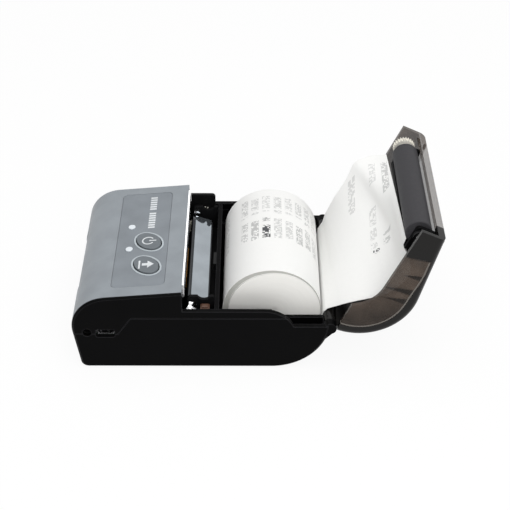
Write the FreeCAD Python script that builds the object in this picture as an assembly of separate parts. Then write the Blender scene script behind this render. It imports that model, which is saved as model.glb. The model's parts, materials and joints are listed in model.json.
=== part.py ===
import FreeCAD, Part
import math
import os

# Portable receipt printer with its roll cover swung open.
# Frame: +X to the hinge at the rear, +Z up, origin on the middle of the flat underside. Millimetres.

# Paper, which sets the bay and the width
PAPER_W = 57.0
PAPER_T = 0.4
ROLL_R = 19.6
ROLL_CORE_R = 1.2
ROLL_LIFT = 0.4
LOOSE_GAP = 1.4
LOOSE_ANGLE = 140.0
BAY_GAP = 1.3
BAY_SIDE_GAP = 0.9
BAY_END_T = 1.6
BAY_END_DROP = 2.8
TRAY_T = 1.7
TAIL_FROM = -40.0
TAIL_TO = -16.0

# Housing
WALL = 2.0
FLOOR = 1.9
SIDE_GAP = 0.2
EDGE_CUT = 0.9
DECK_REAR_X = -7.4
DECK_STEP = 9.1
DECK_SLOPE = 5.0
DECK_T = 2.0
DECK_SIDE_LEDGE = 0.9
DECK_BACK_T = 1.6
FRONT_FOOT_X = -48.3
FRONT_LEAN = 8.5
NOSE_R = 15.0
TOE_R = 3.0
RIM_RISE = 5.8
RIM_ARC_BACK = 3.2
RIM_ARC_R = 12.9
REAR_RIM_DROP = 1.7
SEAM_ABOVE_BOARD = 1.7
SEAM_BELOW_RIM = 3.2
SEAM_LOW_L = 15.3
SEAM_STEP_L = 5.4
SEAM_GROOVE = 0.35
SEAM_DEPTH = 0.5
PARTITION_DROP = 0.2
FIT = 0.1
RUN = 0.35

# Hinge and cover
HINGE_OUT = 0.3
HINGE_DROP = 3.15
BARREL_R = 2.4
HINGE_PIN_R = 0.8
HINGE_PIN_L = 10.0
PIN_RUN = 0.25
LUG_T = 3.4
LUG_SET_IN = 0.5
LUG_SKIN = 1.0
LUG_WEB_DROP = 6.0
OPEN_ANGLE = 115.0
COVER_OVERHANG = 0.4
COVER_ARC_DROP = 1.4
COVER_T = 1.8
LIP_GAP = 0.8
LIP_RISE = 1.5
LIP_DEPTH = 3.0
COVER_EDGE_R = 2.6
SKIRT_REVEAL = 0.4
SKIRT_REAR_GAP = 0.5
RIB_T = 1.2
RIB_DEPTH = 4.5
RIB_W = 5.7
RIB_ANGLES = (38.0, 62.0, 86.0)
BUFFER_R = 1.2
BUFFER_H = 0.7
BUFFER_BACK = 3.0
BUFFER_INSET = 5.0
WEB_START = 12.0

# Platen
PLATEN_BACK = 8.4
PLATEN_RISE = 3.8
PLATEN_R = 5.2
PLATEN_END_CUT = 0.3
PLATEN_SHAFT_R = 1.5
BUSHING_R = 2.6
ROLLER_SHORT = 0.3
BRACKET_GAP = 0.4
BRACKET_T = 1.5
BRACKET_DROP = 2.4
BRACKET_FRONT = 3.4
BRACKET_BAR_GAP = 0.9
BRACKET_BAR_T = 1.5

# Print mechanism
FRAME_GAP = 0.3
FRAME_T = 1.4
FRAME_FRONT = 6.5
FRAME_REAR = 3.9
FRAME_TOP_DROP = 1.4
FRAME_FOOT = 10.5
FRAME_FOOT_H = 15.1
BEAM_T = 1.6
HEAD_CLEAR = 0.68
HEAD_CONTACT = 250.0
HEAD_GAP = 0.3
HEAD_SHORT = 1.1
SUBSTRATE_FRONT = 3.6
SUBSTRATE_REAR = 3.4
SUBSTRATE_T = 0.8
HEATSINK_FRONT = 4.6
HEATSINK_REAR = 4.2
HEATSINK_T = 2.0
PIVOT_BACK = 3.2
PIVOT_DEPTH = 4.0
PIVOT_PIN_R = 0.8
PIVOT_BOSS_R = 1.9
EAR_T = 1.6
LATCH_T = 0.8
LATCH_W = 1.6
LATCH_FOOT = 3.2
LATCH_HOOK = 2.6
LATCH_DROP = 1.6
SPRING_T = 0.4
SPRING_HALF = 9.0
FLEX_T = 0.3
FLEX_HALF = 10.0
FLEX_RISE = 5.0
FLEX_STAND_OFF = 1.4
SENSOR_T = 1.3
SENSOR_HALF = 4.0
SENSOR_H = 3.4
COVER_SWITCH_L = 3.6
COVER_SWITCH_W = 3.4
COVER_SWITCH_LEVER = 0.6

# Gear train
MODULE = 0.36
PRESSURE_ANGLE = 25.0
ADDENDUM = 0.8
DEDENDUM = 1.1
BACKLASH = 0.12
PINION_TEETH = 12
REDUCTION_TEETH = 36
IDLER_TEETH = 24
PLATEN_TEETH = 24
GEAR_T = 2.2
GEAR_GAP = 0.4
AXLE_R = 0.9
MOTOR_FORWARD = 0.7
MOTOR_DROP = 22.6
MOTOR_R = 7.0
MOTOR_FLAT = 0.9
MOTOR_L = 20.0
MOTOR_SHAFT_R = 0.8
MOTOR_SHAFT_IN = 2.0
GEAR_COVER_T = 1.5
GEAR_COVER_RISE = 1.9
GEAR_COVER_STEP_DROP = 9.4
GEAR_COVER_MARGIN = 1.0

# Deck controls, measured on the sloping deck from its rear edge
KEYPAD_REAR = 6.9
KEYPAD_L = 21.3
KEYPAD_NEAR_EDGE = 6.5
KEYPAD_FAR_EDGE = 5.5
KEYPAD_ROUND = 2.2
KEYPAD_DEPTH = 0.6
KEYPAD_T = 0.5
BUTTON_BACK = 14.9
POWER_NEAR_EDGE = 35.8
BUTTON_GAP = 2.4
BUTTON_LONG = 6.3
BUTTON_SHORT = 4.35
BUTTON_END_ROUND = 0.74
BUTTON_TURN = -53.0
BUTTON_PROUD = 0.6
BUTTON_SKIRT = 1.0
BUTTON_TRAVEL = 0.7
BUTTON_STEM_R = 1.5
BUTTON_STEM_L = 1.8
BEZEL_W = 0.7
BEZEL_H = 0.2
LIGHT_BACK = 22.7
LIGHT_YS = (8.5, -7.0)
LIGHT_R = 1.45
LIGHT_PROUD = 0.25
SWITCH_SIZE = 6.0
SWITCH_H = 3.0
SWITCH_PLUNGER_H = 0.5
BOARD_T = 1.6
KEYPAD_BOARD_BACK = 6.5
KEYPAD_BOARD_LONG = 20.0
KEYPAD_BOARD_FAR = 14.0
KEYPAD_BOARD_NEAR = 29.0
BOSS_HALF = 1.8

# Front window, tear bar
WINDOW_HALF = 19.0
WINDOW_RISE = 2.9
WINDOW_H = 5.8
WINDOW_SINK = 0.25
WINDOW_T = 0.8
TEAR_T = 0.8
TEAR_SHORT = 5.5
TEAR_RISE = 0.6
TEAR_DEPTH = 6.0
TEAR_PITCH = 1.5
TEAR_TOOTH = 0.7

# Boards, sockets, battery
BOARD_GAP = 1.75
BOARD_FRONT_GAP = 0.8
BOARD_REAR_GAP = 0.5
BOARD_FAR_GAP = 6.5
BOARD_NEAR_GAP = 0.7
CHIP_SIZE = 10.0
CHIP_T = 1.4
CHIP_BACK = 14.0
CHIP_Y = 2.0
CAPACITOR_R = 3.0
CAPACITOR_H = 5.5
CAPACITOR_BACK = 10.0
CAPACITOR_Y = -14.0
CONNECTOR_L = 22.0
CONNECTOR_W = 3.0
CONNECTOR_H = 1.8
CONNECTOR_EDGE = 1.0
JACK_BACK = 3.1
JACK_W = 6.0
JACK_H = 4.4
JACK_L = 9.0
JACK_BORE_R = 1.75
JACK_END_T = 1.5
JACK_PIN_R = 0.55
JACK_PIN_SINK = 0.6
PORT_PITCH = 7.2
USB_W = 7.4
USB_H = 3.6
USB_L = 8.0
USB_SHELL_T = 0.4
USB_END_T = 1.0
USB_TONGUE_W = 4.2
USB_TONGUE_T = 0.8
USB_TONGUE_SINK = 0.8
BATTERY_FRONT_GAP = 4.8
BATTERY_REAR_GAP = 5.0
BATTERY_SIDE_GAP = 5.4
BATTERY_T = 10.4
BATTERY_ROUND = 2.0
BATTERY_BAY_T = 1.2
CONTACT_T = 0.8
CONTACT_W = 2.4
CONTACT_PITCH = 6.0
DOOR_MARGIN = 1.0
DOOR_T = 1.5
DOOR_SINK = 0.2
DOOR_PIN_R = 0.4
DOOR_PIN_L = 1.2
GRIP_HALF = 6.0
GRIP_PITCH = 1.4
GRIP_W = 0.7
GRIP_DEPTH = 0.4
GRIP_BACK = 3.0
POST_R = 2.2
POST_BACK = 3.0
POST_GAP = 0.2
POST_REAR_GAP = 0.3
SCREW_R = 1.0
SCREW_HEAD_R = 1.9
SCREW_HEAD_H = 1.3
SCREW_SINK = 0.4
SCREW_L = 11.0
SCREW_SLOT = 0.5

# Widths, from the paper outwards to the side wall
BAY_HALF = PAPER_W / 2 + BAY_SIDE_GAP
ROLLER_HALF = PAPER_W / 2 - ROLLER_SHORT
HEAD_HALF = PAPER_W / 2 - HEAD_SHORT
BRACKET_IN = ROLLER_HALF + BRACKET_GAP
BRACKET_OUT = BRACKET_IN + BRACKET_T
FRAME_IN = BRACKET_OUT + FRAME_GAP
FRAME_OUT = FRAME_IN + FRAME_T
GEAR_IN = FRAME_OUT + GEAR_GAP
GEAR_OUT = GEAR_IN + GEAR_T
GEAR_COVER_IN = GEAR_OUT + GEAR_GAP
INNER_HALF = GEAR_COVER_IN + GEAR_COVER_T + SIDE_GAP
HALF = INNER_HALF + WALL
LUG_OUT = HALF - LUG_SET_IN
LUG_IN = LUG_OUT - LUG_T
COVER_INNER_HALF = HALF - COVER_T
TEAR_HALF = HALF - TEAR_SHORT
BATTERY_HALF = FRAME_IN - BATTERY_SIDE_GAP
POST_Y = BATTERY_HALF + BATTERY_BAY_T + POST_R + POST_GAP
POWER_Y = POWER_NEAR_EDGE - HALF

# Lengths, from the deck's rear edge back to the hinge
PLATEN_X = DECK_REAR_X + PLATEN_BACK
FRAME_FRONT_X = PLATEN_X - FRAME_FRONT
FRAME_REAR_X = PLATEN_X + FRAME_REAR
FRAME_FOOT_X = PLATEN_X - FRAME_FOOT
PARTITION_X = FRAME_REAR_X + FRAME_GAP
BAY_R = ROLL_R + BAY_GAP
BODY_R = BAY_R + FLOOR
ROLL_AXIS_X = PARTITION_X + TRAY_T + BAY_R
RIM_ARC_X = ROLL_AXIS_X - RIM_ARC_BACK
HINGE_X = ROLL_AXIS_X + BODY_R + HINGE_OUT
COVER_R = BODY_R + COVER_OVERHANG
COVER_FRONT_X = DECK_REAR_X + TEAR_T + LIP_GAP
BRACKET_BAR_X = PLATEN_X + PLATEN_R + BRACKET_BAR_GAP
DECK_BACK_X = DECK_REAR_X - DECK_BACK_T
BOARD_FRONT_X = FRONT_FOOT_X + BOARD_FRONT_GAP
BOARD_REAR_X = FRAME_FOOT_X - BOARD_REAR_GAP
BATTERY_FRONT_X = FRONT_FOOT_X + BATTERY_FRONT_GAP
BATTERY_REAR_X = FRAME_FOOT_X - BATTERY_REAR_GAP
POST_FRONT_X = FRONT_FOOT_X + POST_BACK
POST_REAR_X = FRAME_FOOT_X - POST_REAR_GAP - POST_R
JACK_X = FRONT_FOOT_X + JACK_BACK
USB_X = JACK_X + PORT_PITCH
MOTOR_X = PLATEN_X - MOTOR_FORWARD

# Heights
ROLL_Z = FLOOR + ROLL_LIFT + ROLL_R
RIM_Z = BODY_R + RIM_RISE
REAR_RIM_Z = BODY_R - REAR_RIM_DROP
HINGE_Z = BODY_R - HINGE_DROP
COVER_ARC_Z = BODY_R - COVER_ARC_DROP
PARTITION_Z = RIM_Z - PARTITION_DROP
DECK_REAR_Z = RIM_Z + DECK_STEP
COVER_LIP_Z = DECK_REAR_Z + LIP_RISE
PLATEN_Z = RIM_Z + PLATEN_RISE
MOTOR_Z = PLATEN_Z - MOTOR_DROP
FRAME_TOP_Z = PLATEN_Z - FRAME_TOP_DROP
BRACKET_LOW_Z = PLATEN_Z - BRACKET_DROP
DOOR_PIVOT_Z = DOOR_SINK + DOOR_T / 2
BATTERY_Z = DOOR_SINK + DOOR_T + RUN
BOARD_Z = BATTERY_Z + BATTERY_T + BOARD_GAP
BOARD_TOP = BOARD_Z + BOARD_T
SEAM_LOW_Z = BOARD_TOP + SEAM_ABOVE_BOARD
SEAM_HIGH_Z = RIM_Z - SEAM_BELOW_RIM
SEAM_LOW_X = FRONT_FOOT_X + SEAM_LOW_L
SEAM_HIGH_X = SEAM_LOW_X + SEAM_STEP_L
WINDOW_LOW_Z = SEAM_LOW_Z + WINDOW_RISE

SLOPE = math.radians(DECK_SLOPE)
LEAN = math.radians(FRONT_LEAN)
REACH = HINGE_X - FRONT_FOOT_X
ALONG_Y = FreeCAD.Vector(0, 1, 0)
HINGE = FreeCAD.Vector(HINGE_X, 0, HINGE_Z)


def point(x, z, y=0.0):
    return FreeCAD.Vector(x, y, z)


def box(x0, x1, y0, y1, z0, z1):
    return Part.makeBox(x1 - x0, y1 - y0, z1 - z0, FreeCAD.Vector(x0, y0, z0))


def rod(x, z, radius, y0, y1):
    return Part.makeCylinder(radius, y1 - y0, point(x, z, y0), ALONG_Y)


def post(x, y, radius, z0, z1):
    return Part.makeCylinder(radius, z1 - z0, FreeCAD.Vector(x, y, z0))


def fused(first, *rest):
    return first.multiFuse(list(rest)).removeSplitter()


def group(*shapes):
    return Part.makeCompound(list(shapes))


def both_sides(shape):
    """The shape and its mirror image across the middle plane."""
    return [shape, shape.mirror(FreeCAD.Vector(0, 0, 0), ALONG_Y)]


def rounded_face(corners):
    """A face in the XZ plane from (x, z, radius) corners."""
    count = len(corners)
    tangents = []
    for i, (x, z, radius) in enumerate(corners):
        here = point(x, z)
        back = (point(*corners[i - 1][:2]) - here).normalize()
        ahead = (point(*corners[(i + 1) % count][:2]) - here).normalize()
        if radius <= 0:
            tangents.append((here, here, here))
            continue
        half_angle = back.getAngle(ahead) / 2
        reach = radius / math.tan(half_angle)
        middle = (back + ahead).normalize() * (radius / math.sin(half_angle) - radius)
        tangents.append((here + back * reach, here + middle, here + ahead * reach))
    edges = []
    for i, (start, middle, end) in enumerate(tangents):
        if start.distanceToPoint(end) > 1e-6:
            edges.append(Part.Arc(start, middle, end).toShape())
        next_start = tangents[(i + 1) % count][0]
        if end.distanceToPoint(next_start) > 1e-6:
            edges.append(Part.LineSegment(end, next_start).toShape())
    return Part.Face(Part.Wire(edges))


def plate(corners, y0, y1):
    """A rounded XZ outline drawn out from y0 to y1."""
    face = rounded_face(corners)
    face.translate(FreeCAD.Vector(0, y0, 0))
    return face.extrude(FreeCAD.Vector(0, y1 - y0, 0))


def sharp(points):
    return [(x, z, 0) for x, z in points]


def crossing(p, d, q, e):
    """Where the line through p along d meets the line through q along e, as an (x, z) pair."""
    bottom = d.x * e.z - d.z * e.x
    t = ((q.x - p.x) * e.z - (q.z - p.z) * e.x) / bottom
    return p.x + d.x * t, p.z + d.z * t


def front_block(inset, deck_inset, half_width, rear_x):
    """Nose, deck and floor of the housing, each moved inward by its inset."""
    front_at = point(FRONT_FOOT_X + inset * math.cos(LEAN), inset * math.sin(LEAN))
    front_dir = point(-math.sin(LEAN), math.cos(LEAN))
    deck_at = point(DECK_REAR_X + deck_inset * math.sin(SLOPE), DECK_REAR_Z - deck_inset * math.cos(SLOPE))
    deck_dir = point(math.cos(SLOPE), math.sin(SLOPE))
    floor_at = point(0, inset * FLOOR / WALL)
    upright = point(0, 1)
    toe = crossing(front_at, front_dir, floor_at, point(1, 0))
    nose = crossing(front_at, front_dir, deck_at, deck_dir)
    rear_top = crossing(point(rear_x, 0), upright, deck_at, deck_dir)
    floor_z = inset * FLOOR / WALL
    toe_r = max(TOE_R - inset, FIT)
    corners = [(*toe, toe_r), (rear_x, floor_z, 0), (*rear_top, 0), (*nose, NOSE_R - inset)]
    return plate(corners, -half_width, half_width)


def deck_band(outer_inset, inner_inset, half_width):
    """The skin over nose and deck between two insets, from the seam up and back to the deck's rear edge."""
    rear_x = DECK_REAR_X + NOSE_R
    band = front_block(outer_inset, outer_inset, half_width, rear_x)
    band = band.cut(front_block(inner_inset, inner_inset, half_width + WALL, rear_x + WALL))
    return band.common(box(-REACH, DECK_REAR_X, -HALF, HALF, SEAM_LOW_Z, REACH))


def on_deck(shape):
    """From deck coordinates (X back from the rear edge is negative, Z is the deck's normal) to the frame."""
    shape.rotate(FreeCAD.Vector(0, 0, 0), ALONG_Y, -DECK_SLOPE)
    shape.translate(point(DECK_REAR_X, DECK_REAR_Z))
    return shape


def opened(shape):
    """A shape drawn with the cover shut, swung to the open rest position."""
    shape.rotate(HINGE, ALONG_Y, OPEN_ANGLE)
    return shape


def below_seam(z_shift, half_width):
    seam = [(-REACH, -REACH), (-REACH, SEAM_LOW_Z), (SEAM_LOW_X, SEAM_LOW_Z), (SEAM_HIGH_X, SEAM_HIGH_Z),
            (REACH, SEAM_HIGH_Z), (REACH, -REACH)]
    return plate(sharp([(x, z + z_shift) for x, z in seam]), -half_width, half_width)


def rim_cut(drop, rear_lift):
    """Everything above the side rim: level at the front, falling in a round shoulder to the rear rim."""
    level = RIM_Z + drop
    rear = REAR_RIM_Z + rear_lift
    above = box(RIM_ARC_X, REACH, -HALF - 1, HALF + 1, rear, REACH)
    shoulder = rod(RIM_ARC_X, RIM_Z - RIM_ARC_R, RIM_ARC_R + drop, -HALF - 2, HALF + 2)
    ahead = box(DECK_REAR_X, RIM_ARC_X, -HALF - 1, HALF + 1, level, REACH)
    return fused(above.cut(shoulder), ahead)


def outer_housing():
    """Outside form of the closed-up base, with its side edges eased."""
    rear_x = ROLL_AXIS_X + BODY_R
    front = front_block(0, 0, HALF, DECK_REAR_X)
    toe_x = FRONT_FOOT_X + 3 * TOE_R
    corners = [(toe_x, 0, 0), (rear_x, 0, BODY_R), (rear_x, RIM_Z, 0), (toe_x, RIM_Z, 0)]
    rear = plate(corners, -HALF, HALF)
    body = fused(front, rear)
    side_edges = [edge for edge in body.Edges if is_outer_side_edge(edge)]
    return body.makeChamfer(EDGE_CUT, side_edges).cut(rim_cut(0, 0))


def is_outer_side_edge(edge):
    middle = edge.valueAt((edge.FirstParameter + edge.LastParameter) / 2)
    on_side = all(abs(abs(v.Y) - HALF) < 1e-4 for v in edge.Vertexes) and abs(abs(middle.y) - HALF) < 1e-4
    on_rim = abs(middle.z - RIM_Z) < 1e-3 and middle.x > DECK_REAR_X
    on_step = abs(middle.x - DECK_REAR_X) < 1e-3
    return on_side and not on_rim and not on_step


def housing_room():
    """The space inside the base, open at the top behind the deck."""
    front = front_block(WALL, DECK_T, INNER_HALF, DECK_BACK_X)
    under = box(DECK_BACK_X - 1, ROLL_AXIS_X, -INNER_HALF, INNER_HALF, FLOOR, SEAM_HIGH_Z)
    middle = box(DECK_REAR_X, ROLL_AXIS_X, -INNER_HALF, INNER_HALF, FLOOR, REACH)
    rear = rod(ROLL_AXIS_X, BODY_R, BAY_R, -INNER_HALF, INNER_HALF)
    above = box(ROLL_AXIS_X, ROLL_AXIS_X + BAY_R, -INNER_HALF, INNER_HALF, BODY_R, REACH)
    return fused(front, under, middle, rear, above)


def port_holes():
    """Round DC inlet and USB slot through the near side wall."""
    y0 = -HALF - 1
    jack = rod(JACK_X, BOARD_TOP + JACK_H / 2, JACK_BORE_R + FIT, y0, -INNER_HALF)
    z0 = BOARD_TOP - FIT
    z1 = BOARD_TOP + USB_H + FIT
    x0 = USB_X - USB_W / 2 - FIT
    x1 = USB_X + USB_W / 2 + FIT
    corner = USB_H / 4
    usb = plate([(x0, z0, corner), (x1, z0, corner), (x1, z1, corner), (x0, z1, corner)], y0, -INNER_HALF)
    return fused(jack, usb)


def base_shell():
    return outer_housing().cut(housing_room()).cut(port_holes())


def lower_housing(shell):
    body = shell.common(below_seam(0, HALF + 1))
    tray = rod(ROLL_AXIS_X, BODY_R, BAY_R + TRAY_T, -BAY_HALF - BAY_END_T, BAY_HALF + BAY_END_T)
    tray = tray.common(box(-REACH, ROLL_AXIS_X, -HALF, HALF, FLOOR - 0.5, BODY_R))
    partition = box(PARTITION_X, PARTITION_X + TRAY_T, -INNER_HALF, INNER_HALF, BODY_R, PARTITION_Z)
    ends = rod(ROLL_AXIS_X, BODY_R, BAY_R, -BAY_HALF - BAY_END_T, BAY_HALF + BAY_END_T)
    ends = ends.common(box(-REACH, REACH, -HALF, HALF, 0, BODY_R - BAY_END_DROP))
    body = fused(body, tray, partition, ends)
    body = body.cut(rod(ROLL_AXIS_X, BODY_R, BAY_R, -BAY_HALF, BAY_HALF))
    lugs = both_sides(hinge_lug())
    body = fused(body, *lugs)
    body = body.cut(rod(HINGE_X, HINGE_Z, BARREL_R + RUN, -LUG_IN, LUG_IN))
    body = body.cut(rod(HINGE_X, HINGE_Z, HINGE_PIN_R, -LUG_OUT + LUG_SKIN, LUG_OUT - LUG_SKIN))
    posts = [post(x, y, POST_R, FLOOR - 0.5, BOARD_Z) for x, y in post_places()]
    rails = both_sides(box(BATTERY_FRONT_X, BATTERY_REAR_X, BATTERY_HALF, BATTERY_HALF + BATTERY_BAY_T,
                           FLOOR - 0.5, BATTERY_Z + BATTERY_T))
    body = fused(body, *posts, *rails)
    for x, y in post_places():
        body = body.cut(post(x, y, SCREW_R, -1, SCREW_SINK + SCREW_L))
        body = body.cut(post(x, y, SCREW_HEAD_R + FIT, -1, SCREW_SINK + SCREW_HEAD_H))
    body = body.cut(door_opening())
    groove = below_seam(0, HALF + 1).cut(below_seam(-SEAM_GROOVE, HALF + 2))
    return body.cut(groove.cut(box(-REACH, REACH, -HALF + SEAM_DEPTH, HALF - SEAM_DEPTH, 0, REACH)))


def hinge_lug():
    """Knuckle on the base's rear corner, faired down into the rear wall."""
    barrel = rod(HINGE_X, HINGE_Z, BARREL_R, LUG_IN, LUG_OUT)
    low_z = HINGE_Z - LUG_WEB_DROP
    wall_x = ROLL_AXIS_X + math.sqrt(BODY_R ** 2 - (BODY_R - low_z) ** 2) - FLOOR / 3
    outline = [(HINGE_X - BARREL_R, HINGE_Z), (wall_x - FLOOR / 2, low_z), (wall_x, low_z),
               (HINGE_X + BARREL_R * 0.95, HINGE_Z - BARREL_R * 0.3), (HINGE_X, HINGE_Z)]
    return fused(barrel, plate(sharp(outline), LUG_IN, LUG_OUT))


def upper_housing(shell):
    body = shell.cut(below_seam(0, HALF + 1))
    rebate = deck_band(-1.0, DECK_T, HALF - DECK_SIDE_LEDGE)
    body = body.cut(rebate)
    return max(body.Solids, key=lambda solid: solid.Volume)


def deck_panel():
    panel = deck_band(0, DECK_T, HALF - DECK_SIDE_LEDGE)
    window = deck_band(-1.0, WINDOW_SINK + WINDOW_T, WINDOW_HALF)
    panel = panel.cut(window.common(window_room(0)))
    panel = panel.cut(on_deck(keypad_outline(0, -KEYPAD_DEPTH, 1.0)))
    for y in button_ys():
        panel = panel.cut(on_deck(button_oval(y, RUN, -DECK_T - 1, 1)))
    for y in LIGHT_YS:
        panel = panel.cut(on_deck(post(-LIGHT_BACK, y, LIGHT_R, -DECK_T - 1, 1)))
    bosses = [on_deck(deck_boss(x, y)) for x, y in boss_places()]
    return fused(panel, *bosses)


def deck_boss(x, y):
    """Square column under the deck that the keypad board seats against."""
    return box(x - BOSS_HALF, x + BOSS_HALF, y - BOSS_HALF, y + BOSS_HALF, keypad_board_top(), -DECK_T + 0.3)


def keypad_outline(margin, z0, z1):
    x0 = -KEYPAD_REAR - KEYPAD_L + margin
    x1 = -KEYPAD_REAR - margin
    y0 = -HALF + KEYPAD_NEAR_EDGE + margin
    y1 = HALF - KEYPAD_FAR_EDGE - margin
    slab = box(x0, x1, y0, y1, z0, z1)
    return slab.makeFillet(KEYPAD_ROUND, [edge for edge in slab.Edges if is_upright(edge)])


def is_upright(edge):
    a, b = edge.Vertexes
    return abs(a.X - b.X) < 1e-6 and abs(a.Y - b.Y) < 1e-6


def button_ys():
    """Places of the power and feed keys across the deck, their bezels a small gap apart."""
    grow = RUN + FIT + BEZEL_W
    turn = math.radians(BUTTON_TURN)
    reach = math.hypot((BUTTON_LONG + grow) * math.sin(turn), (BUTTON_SHORT + grow) * math.cos(turn))
    return POWER_Y, POWER_Y - 2 * reach - BUTTON_GAP


def button_oval(y, grow, z0, z1):
    """A slanted oval column on the deck, drawn with four tangent arcs and grown all round."""
    end_r = BUTTON_SHORT * BUTTON_END_ROUND
    offset = BUTTON_LONG - end_r
    side_r = (offset ** 2 + BUTTON_SHORT ** 2 - end_r ** 2) / (2 * (BUTTON_SHORT - end_r))
    outward = FreeCAD.Vector(offset, side_r - BUTTON_SHORT, 0).normalize()
    join = FreeCAD.Vector(offset, 0, 0) + outward * (end_r + grow)
    tip = FreeCAD.Vector(BUTTON_LONG + grow, 0, 0)
    side = FreeCAD.Vector(0, BUTTON_SHORT + grow, 0)
    left_join = FreeCAD.Vector(-join.x, join.y, 0)
    right_join = FreeCAD.Vector(join.x, -join.y, 0)
    arcs = [Part.Arc(right_join, tip, join), Part.Arc(join, side, left_join),
            Part.Arc(left_join, -tip, -join), Part.Arc(-join, -side, right_join)]
    face = Part.Face(Part.Wire([arc.toShape() for arc in arcs]))
    face.rotate(FreeCAD.Vector(0, 0, 0), FreeCAD.Vector(0, 0, 1), BUTTON_TURN)
    face.translate(FreeCAD.Vector(-BUTTON_BACK, y, z0))
    return face.extrude(FreeCAD.Vector(0, 0, z1 - z0))


def keypad_panel():
    panel = keypad_outline(FIT, -KEYPAD_DEPTH, -KEYPAD_DEPTH + KEYPAD_T)
    for y in button_ys():
        panel = panel.cut(button_oval(y, RUN, -2, 2))
    for y in LIGHT_YS:
        panel = panel.cut(post(-LIGHT_BACK, y, LIGHT_R, -2, 2))
    return on_deck(panel)


def button_bezel(y):
    z0 = -KEYPAD_DEPTH + KEYPAD_T
    ring = button_oval(y, RUN + FIT + BEZEL_W, z0, z0 + BEZEL_H)
    return on_deck(ring.cut(button_oval(y, RUN + FIT, z0 - 1, z0 + 1)))


def button(y):
    """Oval cap through the deck, retaining skirt under it and a stem towards its switch."""
    cap = button_oval(y, 0, -DECK_T - RUN, BUTTON_PROUD)
    skirt = button_oval(y, BUTTON_SKIRT, -DECK_T - RUN - BUTTON_SKIRT, -DECK_T - RUN)
    stem = post(-BUTTON_BACK, y, BUTTON_STEM_R, -DECK_T - RUN - BUTTON_SKIRT - BUTTON_STEM_L, -DECK_T - RUN)
    return on_deck(fused(cap, skirt, stem))


def switch_top():
    return -DECK_T - RUN - BUTTON_SKIRT - BUTTON_STEM_L - BUTTON_TRAVEL - RUN


def keypad_board_top():
    return switch_top() - SWITCH_PLUNGER_H - SWITCH_H


def boss_places():
    x_rear = -KEYPAD_BOARD_BACK - BOSS_HALF
    x_front = -KEYPAD_BOARD_BACK - KEYPAD_BOARD_LONG + BOSS_HALF
    ys = (KEYPAD_BOARD_FAR - BOSS_HALF, BOSS_HALF - KEYPAD_BOARD_NEAR)
    return [(x, y) for x in (x_rear, x_front) for y in ys]


def keypad_board():
    top = keypad_board_top()
    return on_deck(box(-KEYPAD_BOARD_BACK - KEYPAD_BOARD_LONG, -KEYPAD_BOARD_BACK,
                       -KEYPAD_BOARD_NEAR, KEYPAD_BOARD_FAR, top - BOARD_T, top))


def tact_switch(y):
    base = keypad_board_top()
    reach = SWITCH_SIZE / 2
    body = box(-BUTTON_BACK - reach, -BUTTON_BACK + reach, y - reach, y + reach, base, base + SWITCH_H)
    plunger = post(-BUTTON_BACK, y, BUTTON_STEM_R, base + SWITCH_H, switch_top())
    return on_deck(fused(body, plunger))


def status_light(y):
    return on_deck(post(-LIGHT_BACK, y, LIGHT_R, keypad_board_top(), LIGHT_PROUD))


def window_room(margin):
    z1 = WINDOW_LOW_Z + WINDOW_H - margin
    return box(-REACH, DECK_REAR_X - NOSE_R, -HALF, HALF, WINDOW_LOW_Z + margin, z1)


def front_window():
    strip = deck_band(WINDOW_SINK, WINDOW_SINK + WINDOW_T, WINDOW_HALF - FIT)
    return strip.common(window_room(FIT))


def tear_bar():
    """Serrated steel strip standing against the deck's rear edge."""
    count = int(2 * TEAR_HALF / TEAR_PITCH)
    y0 = -count * TEAR_PITCH / 2
    valley = DECK_REAR_Z + TEAR_RISE - TEAR_TOOTH
    outline = [FreeCAD.Vector(0, y0, DECK_REAR_Z - TEAR_DEPTH)]
    for i in range(count):
        outline.append(FreeCAD.Vector(0, y0 + i * TEAR_PITCH, valley))
        outline.append(FreeCAD.Vector(0, y0 + (i + 0.5) * TEAR_PITCH, DECK_REAR_Z + TEAR_RISE))
    outline.append(FreeCAD.Vector(0, -y0, valley))
    outline.append(FreeCAD.Vector(0, -y0, DECK_REAR_Z - TEAR_DEPTH))
    face = Part.Face(Part.makePolygon(outline + outline[:1]))
    face.translate(FreeCAD.Vector(DECK_REAR_X, 0, 0))
    return face.extrude(FreeCAD.Vector(TEAR_T, 0, 0))


def door_opening():
    x0 = BATTERY_FRONT_X - DOOR_MARGIN
    x1 = BATTERY_REAR_X + DOOR_MARGIN
    reach = BATTERY_HALF
    hole = box(x0, x1, -reach, reach, -1, FLOOR + 0.5)
    socket = rod(door_pivot_x(), DOOR_PIVOT_Z, DOOR_PIN_R + PIN_RUN, -reach - DOOR_PIN_L, reach + DOOR_PIN_L)
    return fused(hole, socket)


def door_pivot_x():
    return BATTERY_REAR_X + DOOR_MARGIN - RUN - DOOR_T / 2


def battery_door():
    x0 = BATTERY_FRONT_X - DOOR_MARGIN + RUN
    reach = BATTERY_HALF - RUN
    leaf = box(x0, door_pivot_x(), -reach, reach, DOOR_SINK, DOOR_SINK + DOOR_T)
    edge = rod(door_pivot_x(), DOOR_PIVOT_Z, DOOR_T / 2, -reach, reach)
    pin_reach = reach + RUN + DOOR_PIN_L - PIN_RUN
    pin = rod(door_pivot_x(), DOOR_PIVOT_Z, DOOR_PIN_R, -pin_reach, pin_reach)
    door = fused(leaf, edge, pin)
    for i in range(4):
        grip_x = x0 + GRIP_BACK + i * GRIP_PITCH
        door = door.cut(box(grip_x, grip_x + GRIP_W, -GRIP_HALF, GRIP_HALF, 0, DOOR_SINK + GRIP_DEPTH))
    return door


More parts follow.
